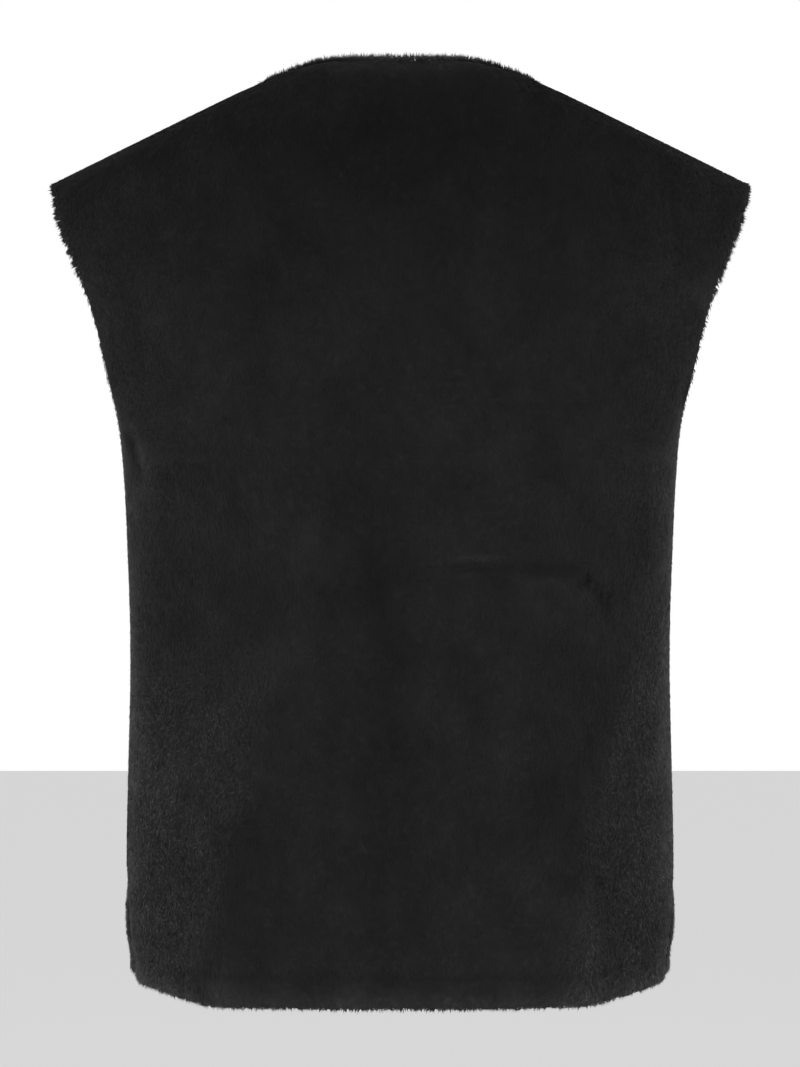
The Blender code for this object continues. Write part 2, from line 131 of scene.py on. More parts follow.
# Long soft folds that hang from above, each at a distance from the panel's centre or side seam
Fold = namedtuple("Fold", "panel side line top_z bottom_z top_at bottom_at bow height width")
FOLDS = (
    Fold("back", 0, "centre", -0.200, -0.700, 0.000, 0.000, 0.000, -0.0055, 0.028),
    Fold("back", 1, "centre", -0.300, -0.700, 0.020, 0.120, 0.030, 0.0070, 0.024),
    Fold("back", 1, "centre", -0.480, -0.700, 0.066, 0.078, 0.000, -0.0035, 0.022),
    Fold("back", -1, "centre", -0.230, -0.560, 0.062, 0.088, 0.000, 0.0035, 0.030),
    Fold("back", -1, "centre", -0.520, -0.700, 0.122, 0.134, 0.000, 0.0045, 0.020),
    Fold("back", -1, "centre", -0.570, -0.665, 0.160, 0.168, 0.000, -0.0040, 0.014),
    Fold("back", 1, "centre", -0.615, -0.700, 0.140, 0.140, 0.000, 0.0035, 0.010),
    Fold("back", -1, "centre", -0.180, -0.260, 0.220, 0.228, 0.000, -0.0030, 0.016),
    Fold("both", 1, "seam", -0.560, -0.720, 0.000, 0.000, 0.000, -0.0150, 0.015),
    Fold("both", -1, "seam", -0.565, -0.720, 0.000, 0.000, 0.000, -0.0120, 0.014),
    Fold("both", 0, "seam", -0.545, -0.720, 0.036, 0.038, 0.000, 0.0070, 0.020),
    Fold("front", 1, "centre", -0.250, -0.700, 0.105, 0.120, 0.000, 0.0055, 0.026),
    Fold("front", -1, "centre", -0.240, -0.700, 0.110, 0.104, 0.000, 0.0050, 0.028),
    Fold("front", 1, "centre", -0.330, -0.700, 0.060, 0.062, 0.000, -0.0040, 0.022),
    Fold("front", -1, "centre", -0.300, -0.700, 0.068, 0.056, 0.000, -0.0035, 0.024),
    Fold("front", -1, "centre", -0.430, -0.700, 0.165, 0.172, 0.000, -0.0035, 0.018),
    # Finer ones, which sharpen those above
    Fold("back", 1, "centre", -0.310, -0.700, 0.010, 0.110, 0.030, -0.0022, 0.0090),
    Fold("back", 1, "centre", -0.310, -0.700, 0.024, 0.124, 0.030, 0.0016, 0.0080),
    Fold("back", 0, "centre", -0.240, -0.700, 0.006, 0.006, 0.000, -0.0016, 0.0120),
    Fold("back", 1, "centre", -0.560, -0.700, 0.150, 0.156, 0.000, -0.0018, 0.0080),
    Fold("back", -1, "centre", -0.300, -0.620, 0.030, 0.045, 0.010, 0.0014, 0.0120),
    Fold("back", -1, "centre", -0.520, -0.700, 0.112, 0.124, 0.000, -0.0018, 0.0080),
    Fold("back", -1, "centre", -0.540, -0.700, 0.180, 0.172, 0.000, 0.0016, 0.0080),
    Fold("front", 1, "centre", -0.300, -0.700, 0.092, 0.106, 0.000, -0.0018, 0.0090),
    Fold("front", -1, "centre", -0.300, -0.700, 0.096, 0.090, 0.000, -0.0018, 0.0090),
    Fold("front", 1, "centre", -0.380, -0.700, 0.172, 0.180, 0.000, 0.0016, 0.0100),
)
SEAM_CALM = 0.012
HEM_VALLEY = namedtuple("HemValley", "up depth width")(0.024, 0.0024, 0.0085)

# Where the cloth is smoothed beside the underarms, and how many times
UNDERARM_EASE = namedtuple("Ease", "z up inner full edge turns")(-0.262, 0.042, 0.11, 0.16, 0.010, 60)

# Small creases and streaks, each along a line between two places given from the panel's centre
# and in height. The height moves the cloth. The gain makes the pile lighter or darker: painted shade in
# the creases, painted light on their ridges, and with no height the centre valley's painted shade and
# one lighter streak.
Crease = namedtuple("Crease", "panel side from_at from_z to_at to_z height width gain")
CREASES = (
    Crease("back", -1, 0.030, -0.3515, 0.076, -0.3510, -0.0020, 0.0026, -0.24),
    Crease("back", -1, 0.030, -0.3455, 0.066, -0.3450, 0.0012, 0.0030, 0.24),
    Crease("back", -1, 0.070, -0.3500, 0.142, -0.3520, -0.0018, 0.0050, -0.17),
    Crease("back", -1, 0.076, -0.3590, 0.128, -0.3650, 0.0012, 0.0046, 0.14),
    Crease("back", -1, 0.131, -0.3570, 0.137, -0.3640, -0.0024, 0.0042, -0.60),
    Crease("back", -1, 0.134, -0.3610, 0.160, -0.3810, -0.0022, 0.0042, -0.28),
    Crease("back", -1, 0.126, -0.3690, 0.134, -0.3740, 0.0014, 0.0055, 0.30),
    Crease("back", -1, 0.100, -0.4000, 0.150, -0.4060, -0.0012, 0.0060, -0.12),
    Crease("back", 1, 0.096, -0.4120, 0.146, -0.3720, 0.0014, 0.0080, 0.10),
    # painted light on a ridge and painted shade in a pocket, beside the left underarm
    Crease("back", 1, 0.201, -0.2540, 0.193, -0.3060, 0.0045, 0.0050, 0.85),
    Crease("back", 1, 0.214, -0.2560, 0.212, -0.2860, -0.0040, 0.0085, -0.85),
    Crease("back", -1, 0.232, -0.2000, 0.226, -0.2360, -0.0016, 0.0060, -0.30),
    Crease("back", 1, 0.180, -0.4700, 0.214, -0.5200, 0.0014, 0.0090, 0.08),
    Crease("back", -1, 0.176, -0.5200, 0.206, -0.4700, 0.0012, 0.0090, 0.08),
    Crease("back", 1, 0.060, -0.1300, 0.150, -0.1800, -0.0010, 0.0100, -0.06),
    Crease("back", -1, 0.070, -0.1400, 0.150, -0.1760, -0.0010, 0.0100, -0.06),
    # painted shade along the back's centre valley, with no crease under it
    Crease("back", 1, 0.019, -0.2580, 0.008, -0.5850, 0.0000, 0.0190, -0.18),
    Crease("back", 1, 0.056, -0.3000, 0.070, -0.3700, 0.0008, 0.0090, 0.18),
    Crease("back", 1, 0.070, -0.3700, 0.096, -0.4600, 0.0008, 0.0090, 0.24),
    Crease("back", -1, 0.083, -0.4100, 0.136, -0.3640, 0.0006, 0.0080, 0.12),
    Crease("back", -1, 0.050, -0.4000, 0.110, -0.4300, 0.0000, 0.0100, 0.10),
    Crease("back", -1, 0.136, -0.5700, 0.136, -0.6550, 0.0010, 0.0080, 0.30),
    Crease("front", 1, 0.050, -0.3600, 0.130, -0.3560, -0.0022, 0.0040, -0.24),
    Crease("front", 1, 0.140, -0.3920, 0.190, -0.4300, 0.0014, 0.0080, 0.10),
    Crease("front", -1, 0.080, -0.3640, 0.150, -0.3700, -0.0020, 0.0040, -0.22),
    Crease("front", -1, 0.170, -0.3300, 0.210, -0.3000, 0.0014, 0.0080, 0.10),
    Crease("front", 0, 0.244, -0.2700, 0.242, -0.2900, -0.0024, 0.0085, -0.30),
    Crease("front", 0, 0.080, -0.1300, 0.160, -0.1900, -0.0010, 0.0100, 0.00),
)
# Rows stand closer here, where the finest creases are: distances up from the hem
CLOSE_ROWS = namedtuple("CloseRows", "low high step")(0.274, 0.318, 0.0028)

Panel = namedtuple("Panel", "name sides front flat area pile_pieces")
PANELS = (
    Panel("back", (-1, 1), False, (0.56, 0.71), 0.334, 3),
    Panel("front_left", (1,), True, (0.29, 0.73), 0.160, 1),
    Panel("front_right", (-1,), True, (0.29, 0.73), 0.160, 1),
)

# The pile at each free edge, where the cloth is turned under. Reach is how far in it changes, turn how
# much of its fall it loses, pull how strongly it points off the edge, rise how much steeper it stands,
# length and crowd how long and close it is beside the rest. Those come in between the two heights.
# The cloth sinks by the last column over the roll.
EdgePile = namedtuple("EdgePile", "reach turn pull rise length crowd low_z high_z roll sink")
EDGE_PILES = {
    "neck": EdgePile(0.0060, 1.00, 0.60, 3.6, 1.50, 7.0, -0.90, -0.80, 0.026, 0.0012),
    "armhole": EdgePile(0.007, 0.40, 0.60, 1.6, 1.35, 5.0, -0.19, -0.11, 0.009, 0.0008),
    "centre": EdgePile(0.006, 0.20, 0.30, 1.3, 1.10, 2.0, -0.90, -0.80, 0.009, 0.0016),
    "hem": EdgePile(0.005, 0.00, 0.00, 1.0, 0.50, 2.5, -0.90, -0.80, 0.012, 0.0032),
}

# Pile at an edge longer than this, beside 1 elsewhere, turns its flat side to the front or the back
UPRIGHT_LENGTH = 1.2

# Painted shade and painted light on the pile, with a few places where it lies another way: a soft patch
# at a distance from the panel's centre and a height, its half sizes and the share it adds
Patch = namedtuple("Patch", "panel side at z half_across half_up gain")
PATCHES = (
    # painted shade across the upper back, which faces up, away from the lamps
    Patch("back", 0, 0.000, -0.070, 0.300, 0.090, -0.16),
    Patch("back", 0, 0.000, -0.045, 0.120, 0.045, -0.18),
    # painted light and painted shade on folds and hollows, and at the upper sides
    Patch("back", 1, 0.104, -0.560, 0.022, 0.040, -0.16),
    Patch("back", 1, 0.125, -0.640, 0.014, 0.018, 0.35),
    Patch("back", 1, 0.170, -0.180, 0.030, 0.050, 0.10),
    Patch("back", 1, 0.225, -0.175, 0.012, 0.030, 0.18),
    Patch("back", -1, 0.150, -0.598, 0.018, 0.022, -0.26),
    Patch("back", -1, 0.150, -0.410, 0.030, 0.050, 0.10),
    Patch("back", -1, 0.185, -0.160, 0.040, 0.040, 0.10),
    Patch("back", -1, 0.225, -0.160, 0.008, 0.012, 0.35),
    Patch("back", -1, 0.110, -0.520, 0.050, 0.030, -0.08),
    Patch("back", -1, 0.110, -0.600, 0.028, 0.034, 0.26),
    # painted shade along the centre valley
    Patch("back", 1, 0.022, -0.300, 0.026, 0.075, -0.20),
    Patch("back", 1, 0.014, -0.520, 0.022, 0.060, -0.12),
    # painted shade above the underarm and painted light below it
    Patch("back", 0, 0.180, -0.266, 0.045, 0.016, -0.20),
    Patch("back", 0, 0.165, -0.302, 0.035, 0.022, 0.12),
    Patch("back", 0, 0.200, -0.300, 0.022, 0.026, 0.15),
    # painted light on the sides that face the lamps, painted shade along the side seams where the sheen
    # grazes
    Patch("back", 0, 0.215, -0.460, 0.026, 0.220, 0.34),
    Patch("back", 0, 0.252, -0.460, 0.016, 0.260, -0.26),
    Patch("back", 0, 0.250, -0.600, 0.018, 0.120, -0.18),
    Patch("front", 0, 0.264, -0.600, 0.018, 0.120, -0.18),
    Patch("front", 0, 0.225, -0.460, 0.030, 0.220, 0.28),
    Patch("front", 0, 0.264, -0.460, 0.016, 0.260, -0.26),
    # painted light and painted shade on the fronts' folds
    Patch("front", 1, 0.120, -0.600, 0.020, 0.040, 0.25),
    Patch("front", -1, 0.110, -0.560, 0.020, 0.060, 0.22),
    Patch("front", 0, 0.060, -0.330, 0.030, 0.120, -0.12),
)

# Lines beside which the pile is lighter and rougher on the side away from the centre: painted light
# where it faces the side lamps and on a fold's lit slope, with stronger flecks. Each is given from
# above by places (from the panel's centre, height).
Shade = namedtuple("Shade", "panel side line soft gain full_z")
SHADES = (
    Shade("back", 1, ((0.083, -0.380), (0.083, -0.410), (0.094, -0.444), (0.101, -0.478),
                      (0.099, -0.513), (0.116, -0.533), (0.124, -0.581), (0.140, -0.616),
                      (0.150, -0.650)), 0.011, 0.38, -0.470),
    Shade("back", -1, ((0.190, -0.293), (0.180, -0.400), (0.165, -0.444), (0.150, -0.478),
                       (0.135, -0.513), (0.128, -0.548), (0.130, -0.572), (0.124, -0.600),
                       (0.110, -0.650)), 0.015, 0.36, -0.440),
    Shade("front", 1, ((0.170, -0.320), (0.160, -0.400), (0.140, -0.480), (0.132, -0.560),
                       (0.126, -0.620)), 0.008, 0.28, -0.480),
    Shade("front", -1, ((0.176, -0.300), (0.164, -0.380), (0.146, -0.470), (0.124, -0.550),
                        (0.118, -0.610)), 0.008, 0.30, -0.470),
)

# Painted light along each turned edge, where the pile also rolls: the hem's rim lit from below and the
# neck's fringe lit through, its shadow filled in. How much, how far in that reaches and how it fades
EdgeTone = namedtuple("EdgeTone", "gain front_gain reach fade")
PAINTED_EDGE_LIGHTS = {
    "neck": EdgeTone(2.10, 0.55, 0.023, 1.9),
    "armhole": EdgeTone(0.55, 0.55, 0.014, 1.4),
    "centre": EdgeTone(0.35, 0.35, 0.010, 1.2),
    "hem": EdgeTone(1.00, 1.00, 0.017, 0.9),
}

# How much painted light the tips of the long tufts get, for the light through them, on the back and on
# the fronts
PAINTED_TIP_LIGHTS = namedtuple("Tips", "back front")(4.5, 0.9)

# How much single tufts differ at random: the least, what is added at the sides and where the pile is
# rough, which are painted glints of the side lamps there, and the distances from the centre where the
# sides begin and count in full
FLECKS = namedtuple("Flecks", "least sides rough from_at to_at")(0.06, 0.20, 0.36, 0.12, 0.21)

# How much flatter the pile lies at the shoulder seam, and how far from it
SHOULDER_LAY = namedtuple("ShoulderLay", "share reach")(0.6, 0.035)


def column(name):
    """One named column of the section table."""
    return np.array([getattr(row, name) for row in SECTIONS])


def index_of(name):
    """The place of a named section in the table."""
    return [row.name for row in SECTIONS].index(name)


def section_levels():
    """How far along the centre line each section lies, in metres from the back hem."""
    steps = np.hypot(np.diff(column("centre_y")), np.diff(column("centre_z")))
    return np.concatenate([[0.0], np.cumsum(steps)])


LEVELS = section_levels()
BACK_UNDERARM = LEVELS[index_of("back underarm")]
SHOULDER_SEAM = LEVELS[index_of("shoulder seam")]
FRONT_UNDERARM = LEVELS[index_of("front underarm")]
FRONT_HEM = LEVELS[-1]
HEM_Z = SECTIONS[0].centre_z


def spline_bends(knots, values):
    """The second derivatives of the natural cubic spline through the values."""
    gaps = np.diff(knots)
    slopes = np.diff(values) / gaps
    system = np.eye(len(knots))
    right = np.zeros(len(knots))
    for i in range(1, len(knots) - 1):
        system[i, i - 1 : i + 2] = gaps[i - 1], 2 * (gaps[i - 1] + gaps[i]), gaps[i]
        right[i] = 6 * (slopes[i] - slopes[i - 1])
    return np.linalg.solve(system, right)


def spline_at(knots, values, bends, level):
    """The spline's value at a level."""
    i = np.clip(np.searchsorted(knots, level) - 1, 0, len(knots) - 2)
    gap = knots[i + 1] - knots[i]
    after = (level - knots[i]) / gap
    before = 1 - after
    curved = (before**3 - before) * bends[i] + (after**3 - after) * bends[i + 1]
    return before * values[i] + after * values[i + 1] + curved * gap * gap / 6


def smooth_column(name, breaks=()):
    """A function of level through one column of the table, with a corner allowed at each break."""
    values = column(name)
    ends = [0, *[index_of(b) for b in breaks], len(values) - 1]
    runs = []
    for first, last in zip(ends[:-1], ends[1:]):
        knots, part = LEVELS[first : last + 1], values[first : last + 1]
        runs.append((knots, part, spline_bends(knots, part)))

    def at(level):
        found = spline_at(*runs[-1], level)
        for run in reversed(runs[:-1]):
            found = np.where(level <= run[0][-1], spline_at(*run, level), found)
        return found

    return at


UNDERARMS = ("back underarm", "front underarm")
CENTRE_Y = smooth_column("centre_y")
CENTRE_Z = smooth_column("centre_z")
EDGE_X = smooth_column("edge_x", UNDERARMS)
EDGE_Y = smooth_column("edge_y", UNDERARMS)
EDGE_Z = smooth_column("edge_z", UNDERARMS)
FULLNESS = smooth_column("fullness")


def roof(share):
    """A section's height across the shoulders: 1 at the centre, 0 at the edge, level at the neck."""
    def fall(s):
        return ROOF_TURN.softness * np.log1p(np.exp((s - ROOF_TURN.share) / ROOF_TURN.softness))

    return (fall(1.0) - fall(share)) / (fall(1.0) - fall(0.0))


def smooth_step(low, high, value):
    """0 up to low, 1 from high on, with a soft change between them."""
    t = np.clip((value - low) / (high - low), 0, 1)
    return t * t * (3 - 2 * t)


def section(level):
    """Points of half sections, each from its centre to its edge, and how far along they lie."""
    level = np.asarray(level, dtype=float)[..., None]
    turn = np.linspace(0, np.pi / 2, FINE)
    share = np.sin(turn) ** (2 / ROUNDNESS)
    fall = np.cos(turn) ** (2 * FULLNESS(level))
    edge_y, edge_z = EDGE_Y(level), EDGE_Z(level)
    x = EDGE_X(level) * share
    y = edge_y + (CENTRE_Y(level) - edge_y) * fall
    z = edge_z + (CENTRE_Z(level) - edge_z) * roof(share)
    points = np.stack([x, y, z], axis=-1)
    steps = np.linalg.norm(np.diff(points, axis=-2), axis=-1)
    return points, np.insert(np.cumsum(steps, axis=-1), 0, 0.0, axis=-1)


def smooth_place(share, level):
    """Points of the unfolded form at shares of the way from centre to edge, and both distances."""
    points, along = section(level)
    at = share * along[..., -1]
    i = np.clip(np.sum(along < at[..., None], axis=-1) - 1, 0, FINE - 2)[..., None]
    low, high = (np.take_along_axis(along, i + k, axis=-1) for k in (0, 1))
    t = ((at[..., None] - low) / (high - low))[..., None]
    first, second = (np.take_along_axis(points, (i + k)[..., None], axis=-2) for k in (0, 1))
    place = (first + (second - first) * t)[..., 0, :]
    near_hem = smooth_step(0, HEM_RISE.fade, HEM_Z + HEM_RISE.fade - place[..., 2])
    place[..., 2] += HEM_RISE.height * smooth_step(HEM_RISE.start, HEM_RISE.full, share) * near_hem
    return place, at, along[..., -1] - at


def beside_crease(crease, from_centre, z):
    """How near places are to a crease: 1 on its line, fading beside it and past its ends."""
    run_at, run_z = crease.to_at - crease.from_at, crease.to_z - crease.from_z
    squared = run_at**2 + run_z**2
    along = ((from_centre - crease.from_at) * run_at + (z - crease.from_z) * run_z) / squared
    t = np.clip(along, 0, 1)
    off = np.hypot(from_centre - crease.from_at - t * run_at, z - crease.from_z - t * run_z)
    taper = smooth_step(-0.15, 0.35, along) * smooth_step(-0.15, 0.35, 1 - along)
    return taper * np.exp(-((off / crease.width) ** 2))


def fold_height(panel, side, from_centre, from_seam, z):
    """How far the folds and creases move the cloth outwards."""
    total = np.zeros_like(z)
    calm = smooth_step(0, SEAM_CALM, np.abs(from_seam))
    for fold in FOLDS:
        if fold.panel not in ("both", panel) or fold.side not in (0, side):
            continue
        run = np.clip((fold.top_z - z) / (fold.top_z - fold.bottom_z), 0, 1)
        at = fold.top_at + (fold.bottom_at - fold.top_at) * run + 4 * fold.bow * run * (1 - run)
        away = (from_centre if fold.line == "centre" else from_seam) - at
        fade = 0.35 * (fold.top_z - fold.bottom_z)
        there = smooth_step(0, fade, fold.top_z - z)
        if fold.bottom_z > HEM_Z:
            there = there * smooth_step(0, fade, z - fold.bottom_z)
        if fold.panel != "both":
            there = there * calm
        total = total + fold.height * there * np.exp(-((away / fold.width) ** 2))
    for crease in CREASES:
        if crease.panel == panel and crease.side in (0, side):
            total = total + crease.height * calm * beside_crease(crease, from_centre, z)
    up = z - HEM_Z - HEM_VALLEY.up
    return total - HEM_VALLEY.depth * np.exp(-((up / HEM_VALLEY.width) ** 2))


def square_to(across, up):
    """Unit vectors square to both slopes, pointing out of the vest."""
    return unit(np.cross(up, across))


def unit(vectors):
    """The vectors' directions."""
    return vectors / np.maximum(np.linalg.norm(vectors, axis=-1, keepdims=True), 1e-12)


def slopes(place, share, level):
    """How a form runs across and along its sections, read from nearby points of it."""
    left, right = np.maximum(share - NUDGE, 0.0), np.minimum(share + NUDGE, 1.0)
    lower, upper = np.maximum(level - LEVEL_NUDGE, 0.0), np.minimum(level + LEVEL_NUDGE, FRONT_HEM)
    return place(right, level) - place(left, level), place(share, upper) - place(share, lower)


def folded_place(panel, side, share, level):
    """Points at the pile's tips on the wearer's left; the other side mirrors them."""
    place, from_centre, from_edge = smooth_place(share, level)
    out = square_to(*slopes(lambda s, l: smooth_place(s, l)[0], share, level))
    from_seam = from_edge if panel == "front" else -from_edge
    return place + out * fold_height(panel, side, from_centre, from_seam, place[..., 2])[..., None]


def last_level(low, high, wanted):
    """The levels between low and high where the test stops being true."""
    for _ in range(32):
        middle = (low + high) / 2
        yes = wanted(middle)
        low, high = np.where(yes, middle, low), np.where(yes, high, middle)
    return low


def even_steps(length, step, first=(0.0,), last=(0.0,)):
    """Values from 0 to a length about a step apart, with finer ones beside the start and the end."""
    count = max(2, int(round((length - first[-1] - last[-1]) / step)) + 1)
    middle = np.linspace(first[-1], length - last[-1], count)
    return np.concatenate([first[:-1], middle, length - np.array(last[:-1])[::-1]])


class Cut:
    """One half of a panel, cut back from the pile's tips by an inset at each free edge."""

    def __init__(self, panel, side, size):
        self.front = panel.front
        self.kind = "front" if panel.front else "back"
        self.side = side
        self.size = size
        self.hem = FRONT_HEM if panel.front else 0.0
        self.underarm = FRONT_UNDERARM if panel.front else BACK_UNDERARM

    def margins(self, place, length, level):
        """Shares left free beside the centre front and beside the side seam or the armhole."""
        size = self.size
        run = np.clip((-V_DEPTH - place[..., 2]) / (-V_DEPTH - HEM_Z), 0, 1)
        gap = FRONT_GAP_TOP + (FRONT_GAP_HEM - FRONT_GAP_TOP) * run
        centre = (gap / 2 + size.centre_inset) / length if self.front else 0 * length
        above = np.minimum(level - BACK_UNDERARM, FRONT_UNDERARM - level)
        edge = (size.armhole_inset * smooth_step(0, 0.02, above) - SEAM_LAP / 2) / length
        return centre, edge

    def with_gaps(self, share, level):
        """Shares of the whole half from shares of the cut cloth."""
        place, from_centre, from_edge = smooth_place(share, level)
        centre, edge = self.margins(place, from_centre + from_edge, level)
        return centre + share * (1 - centre - edge)

    def top(self, share):
        """The levels where the panel ends, and whether that is the neck's edge or the shoulder seam."""
        inset = self.size.neck_inset
        wide = NECK_HALF_WIDTH + inset

        def outside_neck(level):
            x, y, z = np.moveaxis(smooth_place(self.with_gaps(share, level), level)[0], -1, 0)
            if self.front:
                down = np.clip(-z / (V_DEPTH + 2.4 * inset), 0, 1)
                return x > wide * (1 - down ** (1 / V_CURVE))
            return (x / wide) ** 2 + (y / (NECK_BACK_DEPTH + inset)) ** 2 > 1

        seam = np.full_like(share, SHOULDER_SEAM)
        at_seam = outside_neck(seam)
        beside_seam = seam - (SEAM_LAP / 2 if self.front else -SEAM_LAP / 2)
        neck = last_level(np.full_like(share, self.underarm), seam, outside_neck)
        return np.where(at_seam, beside_seam, neck), ~at_seam

    def columns(self):
        """Shares from the centre to the edge, with one at the neck's end."""
        size = self.size
        length = section(BACK_UNDERARM)[1][-1]
        points, along = section(SHOULDER_SEAM)
        neck = np.interp(NECK_HALF_WIDTH + size.neck_inset, points[:, 0], along) / along[-1]
        centre, edge = self.margins(points[0], along[-1], SHOULDER_SEAM)
        neck = (neck - centre) / (1 - centre - edge) * length
        centre_steps = RIM_STEPS if self.front else (0.0,)
        to_neck = even_steps(neck, size.across_step, centre_steps, NECK_STEPS)
        to_edge = neck + even_steps(length - neck, size.across_step, (0.0,), RIM_STEPS)
        return np.concatenate([to_neck, to_edge[1:]]) / length

    def levels(self, top):
        """Levels up each column, from the hem by way of the underarm to the panel's top edge."""
        size = self.size
        to_underarm = abs(self.underarm - self.hem)
        below = even_steps(to_underarm - size.hem_inset, size.up_step, RIM_STEPS) + size.hem_inset
        close = np.arange(CLOSE_ROWS.low, CLOSE_ROWS.high, CLOSE_ROWS.step)
        before, after = below < close[0] - CLOSE_ROWS.step, below > close[-1] + CLOSE_ROWS.step
        below = np.concatenate([below[before], close, below[after]])
        length = np.abs(top - self.underarm)[:, None]
        near_top = length - np.array(RIM_STEPS)[::-1]
        full = abs(SHOULDER_SEAM - self.underarm)
        even = even_steps(full, size.up_step, (0.0,), (RIM_STEPS[-1],))
        above = even[1:-1] / even[-1] * (length - RIM_STEPS[-1])
        above = np.concatenate([above, near_top], axis=1) + to_underarm
        distances = np.concatenate([np.broadcast_to(below, (len(top), len(below))), above], axis=1)
        return FRONT_HEM - distances if self.front else distances

    def place(self, share, level):
        return folded_place(self.kind, self.side, share, level)

    def grid(self):
        """Arrays over the half panel, centre column first: places, directions and edge kinds."""
        columns = self.columns()
        top, at_neck = self.top(columns)
        levels = self.levels(top)
        share = self.with_gaps(np.broadcast_to(columns[:, None], levels.shape), levels)
        _, from_centre, from_edge = smooth_place(share, levels)
        across, along = slopes(self.place, share, levels)
        out = square_to(across, along)
        plain_out = square_to(*slopes(lambda s, l: smooth_place(s, l)[0], share, levels))
        agree = np.sum(out * plain_out, axis=-1, keepdims=True)
        out = unit(plain_out + (out - plain_out) * smooth_step(*AGREEMENT, agree))
        kinds = np.full(levels.shape, "", dtype="U7")
        if self.front:
            kinds[0] = "centre"
        beside = (levels[-1] > BACK_UNDERARM - 1e-6) & (levels[-1] < FRONT_UNDERARM + 1e-6)
        kinds[-1, beside] = "armhole"
        kinds[at_neck, -1] = "neck"
        kinds[:, 0] = "hem"
        mirror = np.array([self.side, 1, 1])
        return {
            "points": self.place(share, levels) * mirror,
            "out": out * mirror,
            "down": unit(along) * mirror * (1 if self.front else -1),
            "kinds": kinds,
            "pattern": np.stack([from_centre * self.side, -abs(levels - SHOULDER_SEAM)], axis=-1),
            "from_edge": from_edge,
        }


def panel_grid(panel, size):
    """The whole panel's arrays, column by column from one side to the other."""
    halves = [Cut(panel, side, size).grid() for side in panel.sides]
    whole = halves[-1]
    if len(halves) == 2:
        right, left = halves
        for name in ("points", "out", "down"):
            left[name][0] = (right[name][0] + left[name][0]) / 2
        whole = {name: np.concatenate([right[name][:0:-1], left[name]]) for name in right}
    ease_underarm(whole)
    return {"panel": "front" if panel.front else "back", **whole}


def ease_underarm(grid):
    """Smooths the cloth beside the underarm, where its rows crowd together; its edges stay in place."""
    points = grid["points"]
    weight = np.exp(-(((points[..., 2] - UNDERARM_EASE.z) / UNDERARM_EASE.up) ** 2))
    weight *= smooth_step(UNDERARM_EASE.inner, UNDERARM_EASE.full, np.abs(grid["pattern"][..., 0]))
    weight *= smooth_step(0.0, UNDERARM_EASE.edge, grid["from_edge"])
    weight = weight[..., None]
    for _ in range(UNDERARM_EASE.turns):
        middle = points.copy()
        middle[:, 1:-1] = (points[:, :-2] + points[:, 2:]) / 2
        points = points + weight * (middle - points) * 0.5
    across, along = np.gradient(points, axis=0), np.gradient(points, axis=1)
    out = square_to(across, along)
    out *= np.sign(np.sum(out * grid["out"], axis=-1, keepdims=True))
    grid["points"] = points
    grid["out"] = unit(grid["out"] * (1 - weight) + out * weight)


def nearest(points, spots):
    """For each grid point, how far the nearest spot is and which one it is."""
    flat = points.reshape(-1, 3)
    far = [np.linalg.norm(part[:, None] - spots, axis=-1) for part in np.array_split(flat, 40)]
    shape = points.shape[:2]
    distance = np.concatenate([f.min(axis=1) for f in far]).reshape(shape)
    return distance, np.concatenate([f.argmin(axis=1) for f in far]).reshape(shape)


def free_edges(grid):
    """Each free edge's kind, its points and the directions that lead off the cloth there."""
    found = []
    every = slice(None)
    for line, inside in (
        ((every, 0), (every, 6)),
        ((every, -1), (every, -7)),
        ((0, every), (6, every)),
        ((-1, every), (-7, every)),
    ):
        kinds = grid["kinds"][line]
        for kind in sorted(set(kinds) - {""}):
            there = kinds == kind
            if there.sum() < 4:
                continue
            points = grid["points"][line][there]
            off = unit(np.cross(np.gradient(points, axis=0), grid["out"][line][there]))
            outwards = np.sum(off * (points - grid["points"][inside][there]), axis=-1)
            found.append((kind, points, off * np.sign(outwards)[:, None]))
    return found


def painted_light_and_shade(grid):
    """Painted light and shade over the panel, beside 1: the patches and the creases' gains."""
    from_centre, height = grid["pattern"][..., 0], grid["points"][..., 2]
    tone = np.ones(height.shape)
    for patch in PATCHES:
        if patch.panel != grid["panel"]:
            continue
        for side in (-1, 1):
            if patch.side in (0, side):
                across = (from_centre - side * patch.at) / patch.half_across
                up = (height - patch.z) / patch.half_up
                tone *= 1 + patch.gain * np.exp(-(across**2) - up**2)
    for crease in CREASES:
        for side in (-1, 1):
            if crease.panel == grid["panel"] and crease.side in (0, side):
                tone *= 1 + crease.gain * beside_crease(crease, from_centre * side, height)
    return tone


def rough_and_lit_share(grid):
    """How rough the pile is, from 0 to 1, and the factor of painted light where it faces the side
    lamps.
    """
    from_centre, height = grid["pattern"][..., 0], grid["points"][..., 2]
    rough, tone = np.zeros(height.shape), np.ones(height.shape)
    for shade in SHADES:
        if shade.panel == grid["panel"]:
            at, z = np.array(shade.line).T
            across = from_centre * shade.side - np.interp(height, z[::-1], at[::-1])
            share = smooth_step(-shade.soft, shade.soft, across)
            share = share * smooth_step(z[0], shade.full_z, height)
            rough = np.maximum(rough, share)
            tone *= 1 + shade.gain * share
    return rough, tone


